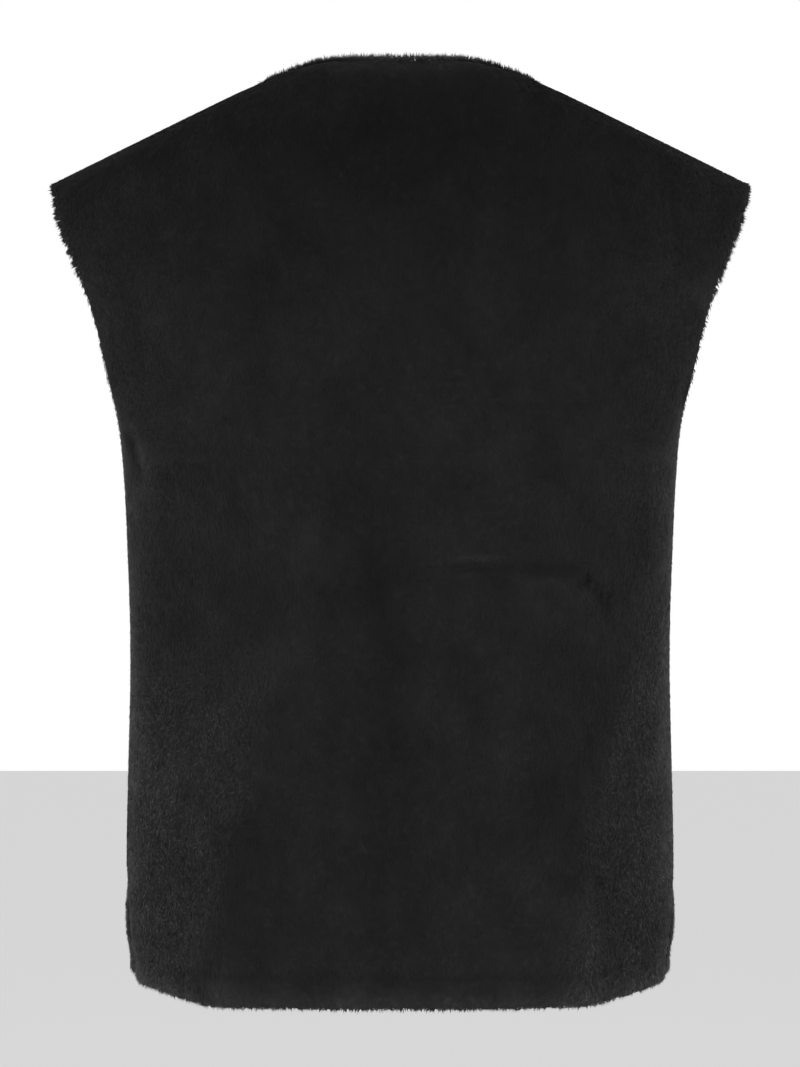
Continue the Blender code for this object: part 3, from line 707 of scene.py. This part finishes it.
def pile_field(grid):
    """The pile's values over the panel, how far the cloth sinks and the distance to a free edge."""
    shape = grid["kinds"].shape
    field = {"nap": grid["down"].copy()}
    for name in ("grow", "crowd", "rise"):
        field[name] = np.ones(shape)
    rough, lighter = rough_and_lit_share(grid)
    # painted light and painted shade: patches, creases and the lit zones
    field["tone"] = painted_light_and_shade(grid) * lighter
    from_centre, to_shoulder = np.abs(grid["pattern"][..., 0]), grid["pattern"][..., 1]
    # random flecks, made stronger at the sides and in rough zones as painted glints of the side lamps
    aside = smooth_step(FLECKS.from_at, FLECKS.to_at, from_centre)
    field["fleck"] = FLECKS.least + FLECKS.sides * aside + FLECKS.rough * rough
    field["upright"] = np.zeros(shape)
    field["rise"] *= 1 - SHOULDER_LAY.share * np.exp(-((to_shoulder / SHOULDER_LAY.reach) ** 2))
    sink, distance = np.zeros(shape), np.ones(shape)
    for kind, points, off in free_edges(grid):
        rule = EDGE_PILES[kind]
        away, which = nearest(grid["points"], points)
        near = 1 - smooth_step(0, rule.reach, away)
        there = near * smooth_step(rule.low_z, rule.high_z, grid["points"][..., 2])
        field["grow"] *= 1 + (rule.length - 1) * there
        field["rise"] *= 1 + (rule.rise - 1) * there
        field["crowd"] = np.maximum(field["crowd"], rule.crowd * there)
        if rule.length > UPRIGHT_LENGTH:
            field["upright"] = np.maximum(field["upright"], there)
        # painted light along the turned edge
        tone = PAINTED_EDGE_LIGHTS[kind]
        gain = tone.front_gain if grid["panel"] == "front" else tone.gain
        field["tone"] *= 1 + gain * np.clip(1 - away / tone.reach, 0, 1) ** tone.fade
        there = there[..., None]
        field["nap"] = field["nap"] * (1 - rule.turn * there) + off[which] * rule.pull * there
        sink = np.maximum(sink, rule.sink * np.clip(1 - away / rule.roll, 0, 1) ** 2)
        distance = np.minimum(distance, away)
    return field, sink, distance


def wall_faces(column_count, row_count):
    """Quads of a closed wall and which of its sides each is on: 0 outer, 1 inner, 2 rim."""
    outer = np.arange(column_count * row_count).reshape(column_count, row_count)
    inner = outer + column_count * row_count

    def quads(a, b, c, d):
        return np.stack([x.reshape(-1) for x in (a, b, c, d)], axis=1)

    def sheet(g):
        return quads(g[:-1, :-1], g[1:, :-1], g[1:, 1:], g[:-1, 1:])

    around = [
        (outer[:, 0], inner[:, 0]),
        (outer[-1, :], inner[-1, :]),
        (outer[::-1, -1], inner[::-1, -1]),
        (outer[0, ::-1], inner[0, ::-1]),
    ]
    parts = [sheet(outer), sheet(inner)[:, ::-1]]
    parts += [quads(o[1:], o[:-1], i[:-1], i[1:]) for o, i in around]
    sides = np.concatenate([np.full(len(p), min(k, 2)) for k, p in enumerate(parts)])
    return np.concatenate(parts), sides


def mesh_object(name, corners, faces):
    mesh = bpy.data.meshes.new(name)
    mesh.from_pydata(corners.tolist(), [], faces.tolist())
    mesh.shade_smooth()
    ob = bpy.data.objects.new(name, mesh)
    bpy.context.scene.collection.objects.link(ob)
    return ob


def set_attribute(mesh, name, values):
    """A number or a vector on every vertex."""
    kind, field = ("FLOAT", "value") if values.ndim == 1 else ("FLOAT_VECTOR", "vector")
    layer = mesh.attributes.new(name, kind, "POINT")
    layer.data.foreach_set(field, np.ascontiguousarray(values, dtype=np.float32).ravel())


def read_numbers(mesh, name):
    values = np.empty(len(mesh.vertices), dtype=np.float32)
    mesh.attributes[name].data.foreach_get("value", values)
    return values


def read_vectors(mesh, name):
    values = np.empty(3 * len(mesh.vertices), dtype=np.float32)
    mesh.attributes[name].data.foreach_get("vector", values)
    return values.reshape(-1, 3)


def set_map(mesh, name, places):
    """A UV map from one place for each vertex."""
    vertices = np.empty(len(mesh.loops), dtype=np.int32)
    mesh.loops.foreach_get("vertex_index", vertices)
    layer = mesh.uv_layers.new(name=name)
    layer.uv.foreach_set("vector", np.ascontiguousarray(places[vertices], dtype=np.float32).ravel())


def wall_share(distance, thickness):
    """The wall's thickness near a turned edge, as a share of the whole: a half-round rim."""
    inward = np.clip(1 - distance / (thickness / 2), 0, 1)
    return np.maximum(np.sqrt(1 - inward * inward), LIP)


class Graph:
    """A node tree that is filled by calls."""

    def __init__(self, tree):
        self.tree = tree

    def add(self, kind, settings=None, inputs=None, output=0):
        """A new node with its settings and inputs, as its output of that number."""
        node = self.tree.nodes.new(kind)
        for name, value in (settings or {}).items():
            setattr(node, name, value)
        for name, value in (inputs or {}).items():
            self.feed(node.inputs[name], value)
        return Out(self, node, output)

    def noise(self, place, scale, detail):
        return self.add(
            "ShaderNodeTexNoise", None, {"Vector": place, "Scale": scale, "Detail": detail}
        )

    def tone(self):
        return self.add("ShaderNodeAttribute", {"attribute_name": "tone"}).output("Fac")

    def vector(self, x, y, z):
        return self.add("ShaderNodeCombineXYZ", None, {"X": x, "Y": y, "Z": z})

    def feed(self, socket, value):
        if isinstance(value, Out):
            self.tree.links.new(value.socket, socket)
        elif value is not None:
            socket.default_value = value


class Out:
    """A node's output; arithmetic on it adds math nodes."""

    def __init__(self, graph, node, output=0):
        self.graph, self.node = graph, node
        self.socket = node.outputs[output] if node.outputs else None

    def output(self, name):
        return Out(self.graph, self.node, name)

    def math(self, operation, *values):
        vector = any(isinstance(v, Out) and v.socket.type == "VECTOR" for v in values)
        kind = "ShaderNodeVectorMath" if vector else "ShaderNodeMath"
        if vector:
            values = [v if isinstance(v, Out) else (v, v, v) for v in values]
        return self.graph.add(kind, {"operation": operation}, dict(enumerate(values)))

    def __add__(self, other):
        return self.math("ADD", self, other)

    __radd__ = __add__

    def __sub__(self, other):
        return self.math("SUBTRACT", self, other)

    def __rsub__(self, other):
        return self.math("SUBTRACT", other, self)

    def __mul__(self, other):
        return self.math("MULTIPLY", self, other)


def new_material(name):
    """An empty material's graph, its shader and the material itself."""
    material = bpy.data.materials.new(name)
    material.use_nodes = True
    tree = material.node_tree
    shader = tree.nodes["Principled BSDF"]
    return Graph(tree), shader, material


def set_sockets(shader, values):
    """Plain values on the shader's sockets."""
    for name, value in values.items():
        shader.inputs[name].default_value = value


# Scale and share of what makes the colours uneven
PILE_PATCHES, TIP_FLECKS, FOOT_FLECKS = (34.0, 0.44), (620.0, 0.12), (900.0, 0.25)
BACKING_PATCHES, BACKING_FLECKS = (40.0, 0.15), (500.0, 0.2)
# Strength and depth of the bumps
FOOT_BUMPS, BACKING_BUMPS = (0.3, 0.0006), (0.5, 0.0004)
# The backing's ribs: direction, scale, distortion and share of the height
WALES, LOOPS = ("X", 130.0, 0.6, 0.65), ("Y", 170.0, 0.8, 0.35)


def mottled(graph, colour, place, patches, flecks, tone=1.0):
    """The colour made uneven by (scale, share) of its soft patches and of its fine flecks."""
    clouds = graph.noise(place * graph.vector(1.0, 1.0, 0.75), patches[0], 4.0)
    small = graph.noise(place, 3.2 * patches[0], 2.0)
    specks = graph.noise(place, flecks[0], 1.0)
    shade = 1.0 + (clouds + small * 0.5 - 0.75) * (2 * patches[1]) + (specks - 0.5) * (2 * flecks[1])
    return graph.add(
        "ShaderNodeMix",
        {"data_type": "RGBA", "blend_type": "MULTIPLY"},
        {0: 1.0, 6: (*colour, 1.0), 7: shade * tone},
        output=2,
    )


def add_bump(graph, shader, height, bumps):
    """Bumps of a given height on the shader."""
    values = {"Strength": bumps[0], "Distance": bumps[1], "Height": height}
    graph.feed(shader.inputs["Normal"], graph.add("ShaderNodeBump", None, values))


PILE_FINISH = {
    "Roughness": 0.85,
    "Specular IOR Level": 0.10,
    "Sheen Weight": 0.02,
    "Sheen Roughness": 0.5,
}
BACKING_FINISH = {"Roughness": 0.88, "Specular IOR Level": 0.25}


def pile_material(name, size, flecks, rough_foot=False):
    """Near black, patchy where the pile lies another way, painted light and shade, a soft sheen, a
    bumpy foot.
    """
    graph, shader, material = new_material(name)
    place = graph.add("ShaderNodeTexCoord").output("Object")
    colour = mottled(graph, size.pile_colour, place, PILE_PATCHES, flecks, graph.tone())
    graph.feed(shader.inputs["Base Color"], colour)
    if rough_foot:
        add_bump(graph, shader, graph.noise(place, flecks[0], 2.0), FOOT_BUMPS)
    set_sockets(shader, PILE_FINISH)
    return material


def backing_material(size):
    """The knitted backing inside: fine wales with small loops."""
    graph, shader, material = new_material("knitted backing")
    pattern = graph.add("ShaderNodeUVMap", {"uv_map": "Pattern"})

    def ribs(direction, scale, distortion, share):
        settings = {"wave_type": "BANDS", "wave_profile": "SIN", "bands_direction": direction}
        values = {"Vector": pattern, "Scale": scale, "Distortion": distortion, "Detail": 1.0}
        return graph.add("ShaderNodeTexWave", settings, values, output=1) * share

    colour = mottled(graph, size.backing_colour, pattern, BACKING_PATCHES, BACKING_FLECKS)
    graph.feed(shader.inputs["Base Color"], colour)
    add_bump(graph, shader, ribs(*WALES) + ribs(*LOOPS), BACKING_BUMPS)
    set_sockets(shader, BACKING_FINISH)
    return material


Blade = namedtuple("Blade", "name sway crown droop")
BLADES = (
    Blade("straight tuft", 0.00, 0.07, 0.02),
    Blade("left curled tuft", -0.24, 0.12, -0.08),
    Blade("right curled tuft", 0.22, 0.10, -0.14),
)
BLADE_MIDDLE = 0.28
BLADE_CELL = ((0.0, -0.40), (0.40, -0.10), (-0.40, -0.10), (0.0, 0.40))


def tuft_shapes(width):
    """Bent blades, one unit long, that lie along +Y with their flat side to +Z."""
    collection = bpy.data.collections.new("tufts")
    bpy.context.scene.collection.children.link(collection)
    for blade in BLADES:
        middle = BLADE_MIDDLE * blade.sway
        corners = (
            (0.0, 0.0, 0.0),
            (middle + width / 2, BLADE_MIDDLE, blade.crown),
            (middle - width / 2, BLADE_MIDDLE, blade.crown),
            (blade.sway, 1.0, blade.droop),
        )
        mesh = bpy.data.meshes.new(blade.name)
        mesh.from_pydata(corners, [], [(0, 1, 2), (2, 1, 3)])
        mesh.shade_smooth()
        collection.objects.link(bpy.data.objects.new(blade.name, mesh))
    return collection


def forget(collection):
    """Takes the shapes away once they are planted."""
    for ob in list(collection.objects):
        bpy.data.objects.remove(ob)
    bpy.data.collections.remove(collection)


def pile_tree(material, tufts):
    """A node tree that plants tufts on a cloth's face: they lie along its nap, curled and uneven."""
    tree = bpy.data.node_groups.new("Pile", "GeometryNodeTree")
    face = tree.interface
    face.new_socket("Geometry", in_out="INPUT", socket_type="NodeSocketGeometry")
    for name, kind, low in (
        ("Tufts per m2", "NodeSocketFloat", 0.0),
        ("Tuft Length", "NodeSocketFloat", 0.0),
        ("Lift", "NodeSocketFloat", 0.0),
        ("Swirl", "NodeSocketFloat", 0.0),
        ("Curl", "NodeSocketFloat", 0.0),
        ("Seed", "NodeSocketInt", 0),
    ):
        face.new_socket(name, in_out="INPUT", socket_type=kind).min_value = low
    face.new_socket("Geometry", in_out="OUTPUT", socket_type="NodeSocketGeometry")
    graph = Graph(tree)
    given = graph.add("NodeGroupInput")
    seed = given.output("Seed")

    def named(name, kind="FLOAT_VECTOR"):
        return graph.add("GeometryNodeInputNamedAttribute", {"data_type": kind}, {"Name": name})

    def chance(low, high, number):
        node = graph.add("FunctionNodeRandomValue", {"data_type": "FLOAT"}, None, output=1)
        for socket, value in ((2, low), (3, high), (8, seed + float(number))):
            graph.feed(node.node.inputs[socket], value)
        return node

    def noise(scale, detail, offset):
        return graph.noise(graph.add("GeometryNodeInputPosition") + offset, scale, detail)

    out, nap, face_way = named("out"), named("nap"), named("face")
    grow, crowd = named("grow", "FLOAT"), named("crowd", "FLOAT")
    points = graph.add(
        "GeometryNodeDistributePointsOnFaces",
        {"distribute_method": "RANDOM"},
        {"Mesh": given, "Density": given.output("Tufts per m2") * crowd, "Seed": seed},
    )

    # Noises are given by scale, detail and offset, and chances by their limits and a number
    swirl = (noise(24.0, 2.0, 0.0) - 0.5) * (given.output("Swirl") * 2.0)
    curl = (noise(210.0, 1.0, 3.7) - 0.5) * (given.output("Curl") * 2.0)
    turn = swirl + curl + chance(-0.45, 0.45, 11)
    lain = graph.add(
        "ShaderNodeVectorRotate",
        {"rotation_type": "AXIS_ANGLE"},
        {"Vector": nap, "Axis": out, "Angle": turn},
    )
    uneven = 1.0 + (noise(160.0, 1.0, 9.1) - 0.5) * 1.1 + chance(-0.3, 0.3, 12)
    rise = given.output("Lift") * named("rise", "FLOAT") * uneven
    lift = out.math("SINE", rise)
    along = lain * lift.math("COSINE", rise) + out * lift

    spin = graph.add(
        "FunctionNodeAxesToRotation",
        {"primary_axis": "Y", "secondary_axis": "Z"},
        {"Primary Axis": along, "Secondary Axis": face_way},
    )
    roll = graph.add(
        "FunctionNodeAxisAngleToRotation",
        None,
        {"Axis": (0.0, 1.0, 0.0), "Angle": chance(-0.25, 0.25, 13)},
    )
    spin = graph.add(
        "FunctionNodeRotateRotation", {"rotation_space": "LOCAL"}, {"Rotation": spin, "Rotate By": roll}
    )
    lean = face_way + along * 0.30 + graph.add(
        "FunctionNodeRandomValue",
        {"data_type": "FLOAT_VECTOR"},
        {0: (-0.10, -0.10, -0.10), 1: (0.10, 0.10, 0.10), "Seed": seed},
    )
    marked = graph.add(
        "GeometryNodeStoreNamedAttribute",
        {"data_type": "FLOAT_VECTOR", "domain": "POINT"},
        {"Geometry": points, "Name": "lean", "Value": lean},
    )
    width = given.output("Tuft Length") * chance(0.75, 1.20, 14)
    longer = grow + (grow - 1.0) * chance(-1.20, 0.80, 15)
    scale = graph.vector(width, width * longer, width)
    pick = graph.add(
        "GeometryNodeCollectionInfo", None, {"Collection": tufts, "Separate Children": True}
    )
    instances = graph.add(
        "GeometryNodeInstanceOnPoints",
        None,
        {
            "Points": marked,
            "Instance": pick,
            "Pick Instance": True,
            "Rotation": spin,
            "Scale": scale,
        },
    )
    made = graph.add("GeometryNodeRealizeInstances", None, {"Geometry": instances})
    painted = graph.add("GeometryNodeSetMaterial", None, {"Geometry": made, "Material": material})
    result = graph.add("NodeGroupOutput")
    graph.feed(result.node.inputs[0], painted)
    return tree


def planted(name, scalp, tree, values):
    """The tufts on a piece of cloth as a plain mesh."""
    modifier = scalp.modifiers.new("Pile", "NODES")
    modifier.node_group = tree
    for socket in tree.interface.items_tree:
        if socket.in_out == "INPUT" and socket.name in values:
            modifier[socket.identifier] = values[socket.name]
    depsgraph = bpy.context.evaluated_depsgraph_get()
    mesh = bpy.data.meshes.new_from_object(
        scalp.evaluated_get(depsgraph), preserve_all_data_layers=True, depsgraph=depsgraph
    )
    mesh.name = name
    ob = bpy.data.objects.new(name, mesh)
    bpy.context.scene.collection.objects.link(ob)
    return ob


# How much of a tuft's own direction is in its normals, where it lies and more where it stands
OWN_SHARE = namedtuple("OwnShare", "lying risen")(0.45, 3.0)


def blade_normals(mesh):
    """The flat direction of each blade, on all of its corners."""
    places = np.empty(3 * len(mesh.vertices), dtype=np.float32)
    mesh.vertices.foreach_get("co", places)
    foot, right, left, tip = places.reshape(-1, 4, 3).transpose(1, 0, 2)
    flat = unit(np.cross(right - foot, left - foot)) + unit(np.cross(tip - right, left - right))
    return np.repeat(unit(flat), 4, axis=0)


def finish_pile(mesh, tip_light):
    """Painted light on long tips, random tones, soft normals along the pile, and a map with a small
    cell for each tuft.
    """
    lean, spot = read_vectors(mesh, "lean"), read_vectors(mesh, "spot")
    corners = len(mesh.vertices)
    tufts = corners // 4
    rows = math.ceil(math.sqrt(tufts))
    u, v = spot[::4, 0], spot[::4, 1]
    row = np.empty(tufts, dtype=int)
    row[np.argsort(v, kind="stable")] = np.arange(tufts) // rows
    order = np.lexsort((u, row))
    at = np.empty(tufts, dtype=int)
    at[order] = np.arange(tufts) - np.searchsorted(row[order], row[order])
    cell = np.stack([at, row], axis=1) + 0.5
    places = (cell[:, None] + np.array(BLADE_CELL)[None]).reshape(-1, 2) / rows
    tone, grow = read_numbers(mesh, "tone"), read_numbers(mesh, "grow")
    # painted light on the tips of long tufts
    tone[3::4] *= 1 + tip_light * np.clip(grow[3::4] - 1, 0, 1)
    chance = np.random.default_rng(tufts).standard_normal(tufts)
    tone *= np.repeat(np.exp(np.clip(chance, -2.0, 1.6) * read_numbers(mesh, "fleck")[::4]), 4)
    mesh.attributes["tone"].data.foreach_set("value", tone)
    for name in ("lean", "spot", "nap", "out", "face", "grow", "crowd", "rise", "fleck"):
        if name in mesh.attributes:
            mesh.attributes.remove(mesh.attributes[name])
    set_map(mesh, "OFBake", places)
    mesh.shade_smooth()
    turned = np.clip(grow - 1, 0, 1)[:, None] * OWN_SHARE.risen + OWN_SHARE.lying
    normals = unit(unit(lean) + blade_normals(mesh) * turned)
    mesh.normals_split_custom_set_from_vertices(normals.tolist())


# How long the pile is on the cloth's inner face, as a share of the outer face's
INNER_LENGTH = 0.5


def both(outer, inner):
    """Values for the outer face's corners, then for the inner face's."""
    return np.concatenate([outer, inner]).reshape(-1, *outer.shape[2:])


def build_cloth(panel, size, materials):
    """One panel's thin cloth, and what its pile needs to know at each of its corners."""
    grid = panel_grid(panel, size)
    pile, sink, distance = pile_field(grid)
    half = size.cloth / 2 * wall_share(distance, size.cloth)[..., None]
    depth = sink[..., None] + size.pile_depth + size.cloth / 2
    middle = grid["points"] - grid["out"] * depth
    corners = both(middle + grid["out"] * half, middle - grid["out"] * half)
    faces, sides = wall_faces(*distance.shape)
    if panel.front != (panel.sides[-1] > 0):
        faces = faces[:, ::-1]
    cloth = mesh_object(f"{panel.name}_cloth", corners, faces)
    mesh = cloth.data
    for material in materials:
        mesh.materials.append(material)
    mesh.polygons.foreach_set("material_index", (sides == 1).astype(np.int32))
    pattern = both(grid["pattern"], grid["pattern"])
    set_map(mesh, "Pattern", pattern)
    field = {name: both(values, values) for name, values in pile.items()}
    field["grow"][len(field["grow"]) // 2 :] *= INNER_LENGTH
    field["out"] = both(grid["out"], -grid["out"])
    upright = field.pop("upright")[:, None]
    behind = np.array([0.0, -1.0 if panel.front else 1.0, 0.0])
    field["face"] = unit(field["out"] * (1 - upright) + behind * upright)
    field["spot"] = np.concatenate([pattern, 0 * pattern[:, :1]], axis=1)
    # the tone carries painted light and shade to the pile's roots on the cloth
    set_attribute(mesh, "tone", field["tone"])
    free = both(grid["kinds"] != "", grid["kinds"] != "")[faces].all(axis=1)
    near = both(distance, distance)[faces].max(axis=1) < size.turned
    grown = (sides == 0) | ((sides == 2) & free) | ((sides == 1) & near)
    return cloth, corners, faces[grown], field


def scalp_part(name, corners, faces, field, low, high):
    """The part of a panel's cloth between two distances across it, as an object to plant on."""
    across = field["spot"][faces, 0].mean(axis=1)
    faces = faces[(across >= low) & (across < high)]
    used, again = np.unique(faces, return_inverse=True)
    scalp = mesh_object(name, corners[used], again.reshape(faces.shape))
    for key, values in field.items():
        set_attribute(scalp.data, key, values[used])
    return scalp


def crowded_area(mesh):
    """The cloth's area, with each face counted by how close its tufts stand."""
    crowd = read_numbers(mesh, "crowd")
    return sum(face.area * crowd[list(face.vertices)].mean() for face in mesh.polygons)


# From one piece of a panel's pile to the next
SEED_STEP = 7


def build_panel(panel, size):
    """A panel's cloth and its pile, tied to the frame."""
    materials = (pile_material("pile roots", size, FOOT_FLECKS, True), backing_material(size))
    cloth, corners, faces, field = build_cloth(panel, size, materials)
    tufts = tuft_shapes(size.tuft_width)
    tree = pile_tree(pile_material("black pile", size, TIP_FLECKS), tufts)
    across = field["spot"][faces, 0].mean(axis=1)
    shares = np.linspace(0, 1, panel.pile_pieces + 1)
    cuts = np.quantile(across, shares)
    cuts[0], cuts[-1] = -1.0, 1.0
    piles = []
    for i, (low, high) in enumerate(zip(cuts[:-1], cuts[1:])):
        scalp = scalp_part(f"scalp {i}", corners, faces, field, low, high)
        area = crowded_area(scalp.data)
        values = {
            "Tufts per m2": size.tufts / area,
            "Tuft Length": size.tuft_length,
            "Lift": size.lift,
            "Swirl": size.swirl,
            "Curl": size.curl,
            "Seed": size.seed + SEED_STEP * i + len(panel.name),
        }
        pile = planted(f"{panel.name}_pile_{i + 1}", scalp, tree, values)
        bpy.data.objects.remove(scalp)
        finish_pile(pile.data, PAINTED_TIP_LIGHTS.front if panel.front else PAINTED_TIP_LIGHTS.back)
        piles.append(pile)
    forget(tufts)
    bpy.data.node_groups.remove(tree)
    for ob in (cloth, *piles):
        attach(ob, "root")
    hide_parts(panel.name)


def build_panels(size, front):
    """Both fronts, or else the back."""
    for panel in PANELS:
        if panel.front == front:
            build_panel(panel, size)


def look_at(ob, place, target):
    """Puts an object at a place, turned to a target."""
    ob.location = place
    ob.rotation_euler = (Vector(target) - Vector(place)).to_track_quat("-Z", "Y").to_euler()


FLOOR_HALF = 14.0
Light = namedtuple("Light", "name place share")
LIGHTS = (
    Light("top light", (0.0, 0.05, 1.45), 0.55),
    Light("left back light", (1.75, 1.40, -0.45), 1.0),
    Light("right back light", (-1.80, 1.30, -0.45), 0.9),
    Light("left front light", (1.3, -1.9, -0.2), 0.8),
    Light("right front light", (-1.3, -1.9, -0.2), 0.8),
)
LIGHT_SIZE = (1.2, 1.8)
LIGHT_TARGET = (0.0, 0.0, -0.40)


def add_light(light, watts):
    data = bpy.data.lights.new(light.name, "AREA")
    data.shape = "RECTANGLE"
    data.size, data.size_y = LIGHT_SIZE
    data.energy = watts
    ob = bpy.data.objects.new(light.name, data)
    bpy.context.scene.collection.objects.link(ob)
    look_at(ob, light.place, LIGHT_TARGET)
    return ob


def studio_world(stage):
    """A white room that gives even light from all round, and less from straight above."""
    world = bpy.data.worlds.new("studio")
    world.use_nodes = True
    graph = Graph(world.node_tree)
    background = world.node_tree.nodes["Background"]
    way = graph.add("ShaderNodeTexCoord").output("Generated")
    height = graph.add("ShaderNodeSeparateXYZ", None, {0: way}, output=2)
    light = graph.add(
        "ShaderNodeMapRange",
        {"interpolation_type": "SMOOTHSTEP"},
        {
            "Value": height,
            "From Min": 0.05,
            "From Max": 0.75,
            "To Min": stage.surround,
            "To Max": stage.surround * stage.zenith,
        },
    )
    seen = graph.add("ShaderNodeLightPath").output("Is Camera Ray")
    graph.feed(background.inputs["Strength"], light + seen * (1.0 - light))
    background.inputs["Color"].default_value = (1.0, 1.0, 1.0, 1.0)
    bpy.context.scene.world = world


def build_stage(stage):
    """The pale floor, the lights, the white room and the camera at the photograph's angle."""
    corners = np.array([(-1, -1, 0), (1, -1, 0), (1, 1, 0), (-1, 1, 0)]) * FLOOR_HALF
    corners = corners + (0, 0, stage.floor_height)
    floor = mesh_object("floor", corners, np.array([(0, 1, 2, 3)]))
    _, shader, material = new_material("pale floor")
    set_sockets(
        shader,
        {
            "Base Color": (0.85, 0.85, 0.85, 1.0),
            "Roughness": 0.9,
            "Emission Color": (1.0, 1.0, 1.0, 1.0),
            "Emission Strength": stage.floor_glow,
        },
    )
    floor.data.materials.append(material)
    lights = [add_light(light, stage.lights * light.share) for light in LIGHTS]
    studio_world(stage)
    camera_data = bpy.data.cameras.new("photograph")
    camera_data.lens = stage.lens
    camera_data.sensor_width = 36.0
    camera = bpy.data.objects.new("photograph", camera_data)
    bpy.context.scene.collection.objects.link(camera)
    look_at(camera, (0.0, stage.camera_distance, stage.camera_height), (0.0, 0.0, stage.camera_height))
    bpy.context.scene.camera = camera
    bpy.context.scene.view_settings.view_transform = "Standard"


def length_property(name, description, default):
    return FloatProperty(
        name=name, description=description, default=default, unit="LENGTH", precision=4
    )


def angle_property(name, description, default):
    return FloatProperty(name=name, description=description, default=default, subtype="ANGLE")


class FurVestSizes(bpy.types.PropertyGroup):
    across_step: length_property("Step Across", "Spacing of the cloth's columns", 0.0055)
    up_step: length_property("Step Up", "Spacing of the cloth's rows", 0.0080)
    cloth: length_property("Cloth", "Thickness of the backing with the foot of its pile", 0.0042)
    pile_depth: length_property("Pile Depth", "From the cloth's outer face to the pile's tips", 0.0014)
    neck_inset: length_property("Neck Inset", "From the tips at the neck to the cloth's edge", 0.0030)
    armhole_inset: length_property("Armhole Inset", "From the tips at an armhole to its edge", 0.0010)
    centre_inset: length_property("Front Inset", "From the tips at centre front to the edge", 0.0010)
    hem_inset: length_property("Hem Inset", "From the tips at the hem to the cloth's edge", 0.0010)
    turned: length_property("Turned Edge", "How far pile shows inside each free edge", 0.0060)
    tufts: IntProperty(name="Tufts", description="Tufts on each piece of pile", default=87000)
    tuft_length: length_property("Tuft Length", "Mean length of the pile", 0.0032)
    tuft_width: FloatProperty(name="Tuft Width", description="Share of a tuft's length", default=0.20)
    lift: angle_property("Lift", "Mean angle from the cloth", 0.26)
    swirl: angle_property("Swirl", "Slow turning of the nap", 1.8)
    curl: angle_property("Curl", "Quick turning of the nap", 2.4)
    seed: IntProperty(name="Seed", description="Seed of the uneven pile", default=31)
    pile_colour: FloatVectorProperty(
        name="Pile", description="Colour of the pile", default=(0.0135, 0.0135, 0.0137), subtype="COLOR"
    )
    backing_colour: FloatVectorProperty(
        name="Backing",
        description="Colour of the backing",
        default=(0.020, 0.020, 0.021),
        subtype="COLOR",
    )


class FurVestStudio(bpy.types.PropertyGroup):
    floor_height: length_property("Floor", "Height of the floor", -1.42)
    floor_glow: FloatProperty(name="Floor Glow", description="Light of the lit floor", default=0.5)
    lens: FloatProperty(name="Lens", description="Focal length in millimetres", default=121.9)
    camera_distance: length_property("Camera Distance", "From the vest's middle", 2.6)
    camera_height: length_property("Camera Height", "Height of the camera", -0.3294)
    lights: FloatProperty(name="Lights", description="Power of each light", default=26.0, unit="POWER")
    surround: FloatProperty(name="Surround", description="Strength of the white room", default=0.30)
    zenith: FloatProperty(name="Zenith", description="Share of it straight above", default=0.55)


class FURVEST_OT_back(bpy.types.Operator):
    """Build the back: its cloth and its pile"""

    bl_idname = "furvest.back"
    bl_label = "Back"

    def execute(self, context):
        build_panels(context.scene.fur_vest, front=False)
        return {"FINISHED"}


class FURVEST_OT_fronts(bpy.types.Operator):
    """Build the two fronts: their cloth and their pile"""

    bl_idname = "furvest.fronts"
    bl_label = "Fronts"

    def execute(self, context):
        build_panels(context.scene.fur_vest, front=True)
        return {"FINISHED"}


class FURVEST_OT_studio(bpy.types.Operator):
    """Set up the floor, the lights and the camera"""

    bl_idname = "furvest.studio"
    bl_label = "Studio"

    def execute(self, context):
        build_stage(context.scene.fur_vest_studio)
        return {"FINISHED"}


class FURVEST_PT_sidebar(bpy.types.Panel):
    bl_label = "Fur Vest"
    bl_idname = "FURVEST_PT_sidebar"
    bl_space_type = "VIEW_3D"
    bl_region_type = "UI"
    bl_category = "Fur Vest"

    def draw(self, context):
        layout = self.layout
        for settings in (context.scene.fur_vest, context.scene.fur_vest_studio):
            for name in settings.__annotations__:
                layout.prop(settings, name)
        for operator in OPERATORS:
            layout.operator(operator.bl_idname)


OPERATORS = (FURVEST_OT_back, FURVEST_OT_fronts, FURVEST_OT_studio)
CLASSES = (FurVestSizes, FurVestStudio, *OPERATORS, FURVEST_PT_sidebar)


def register():
    for item in CLASSES:
        bpy.utils.register_class(item)
    bpy.types.Scene.fur_vest = PointerProperty(type=FurVestSizes)
    bpy.types.Scene.fur_vest_studio = PointerProperty(type=FurVestStudio)


def unregister():
    del bpy.types.Scene.fur_vest_studio
    del bpy.types.Scene.fur_vest
    for item in reversed(CLASSES):
        bpy.utils.unregister_class(item)


def main():
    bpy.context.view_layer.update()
    register()
    bpy.ops.furvest.back()
    bpy.ops.furvest.fronts()
    bpy.ops.furvest.studio()


if __name__ == "__main__":
    main()
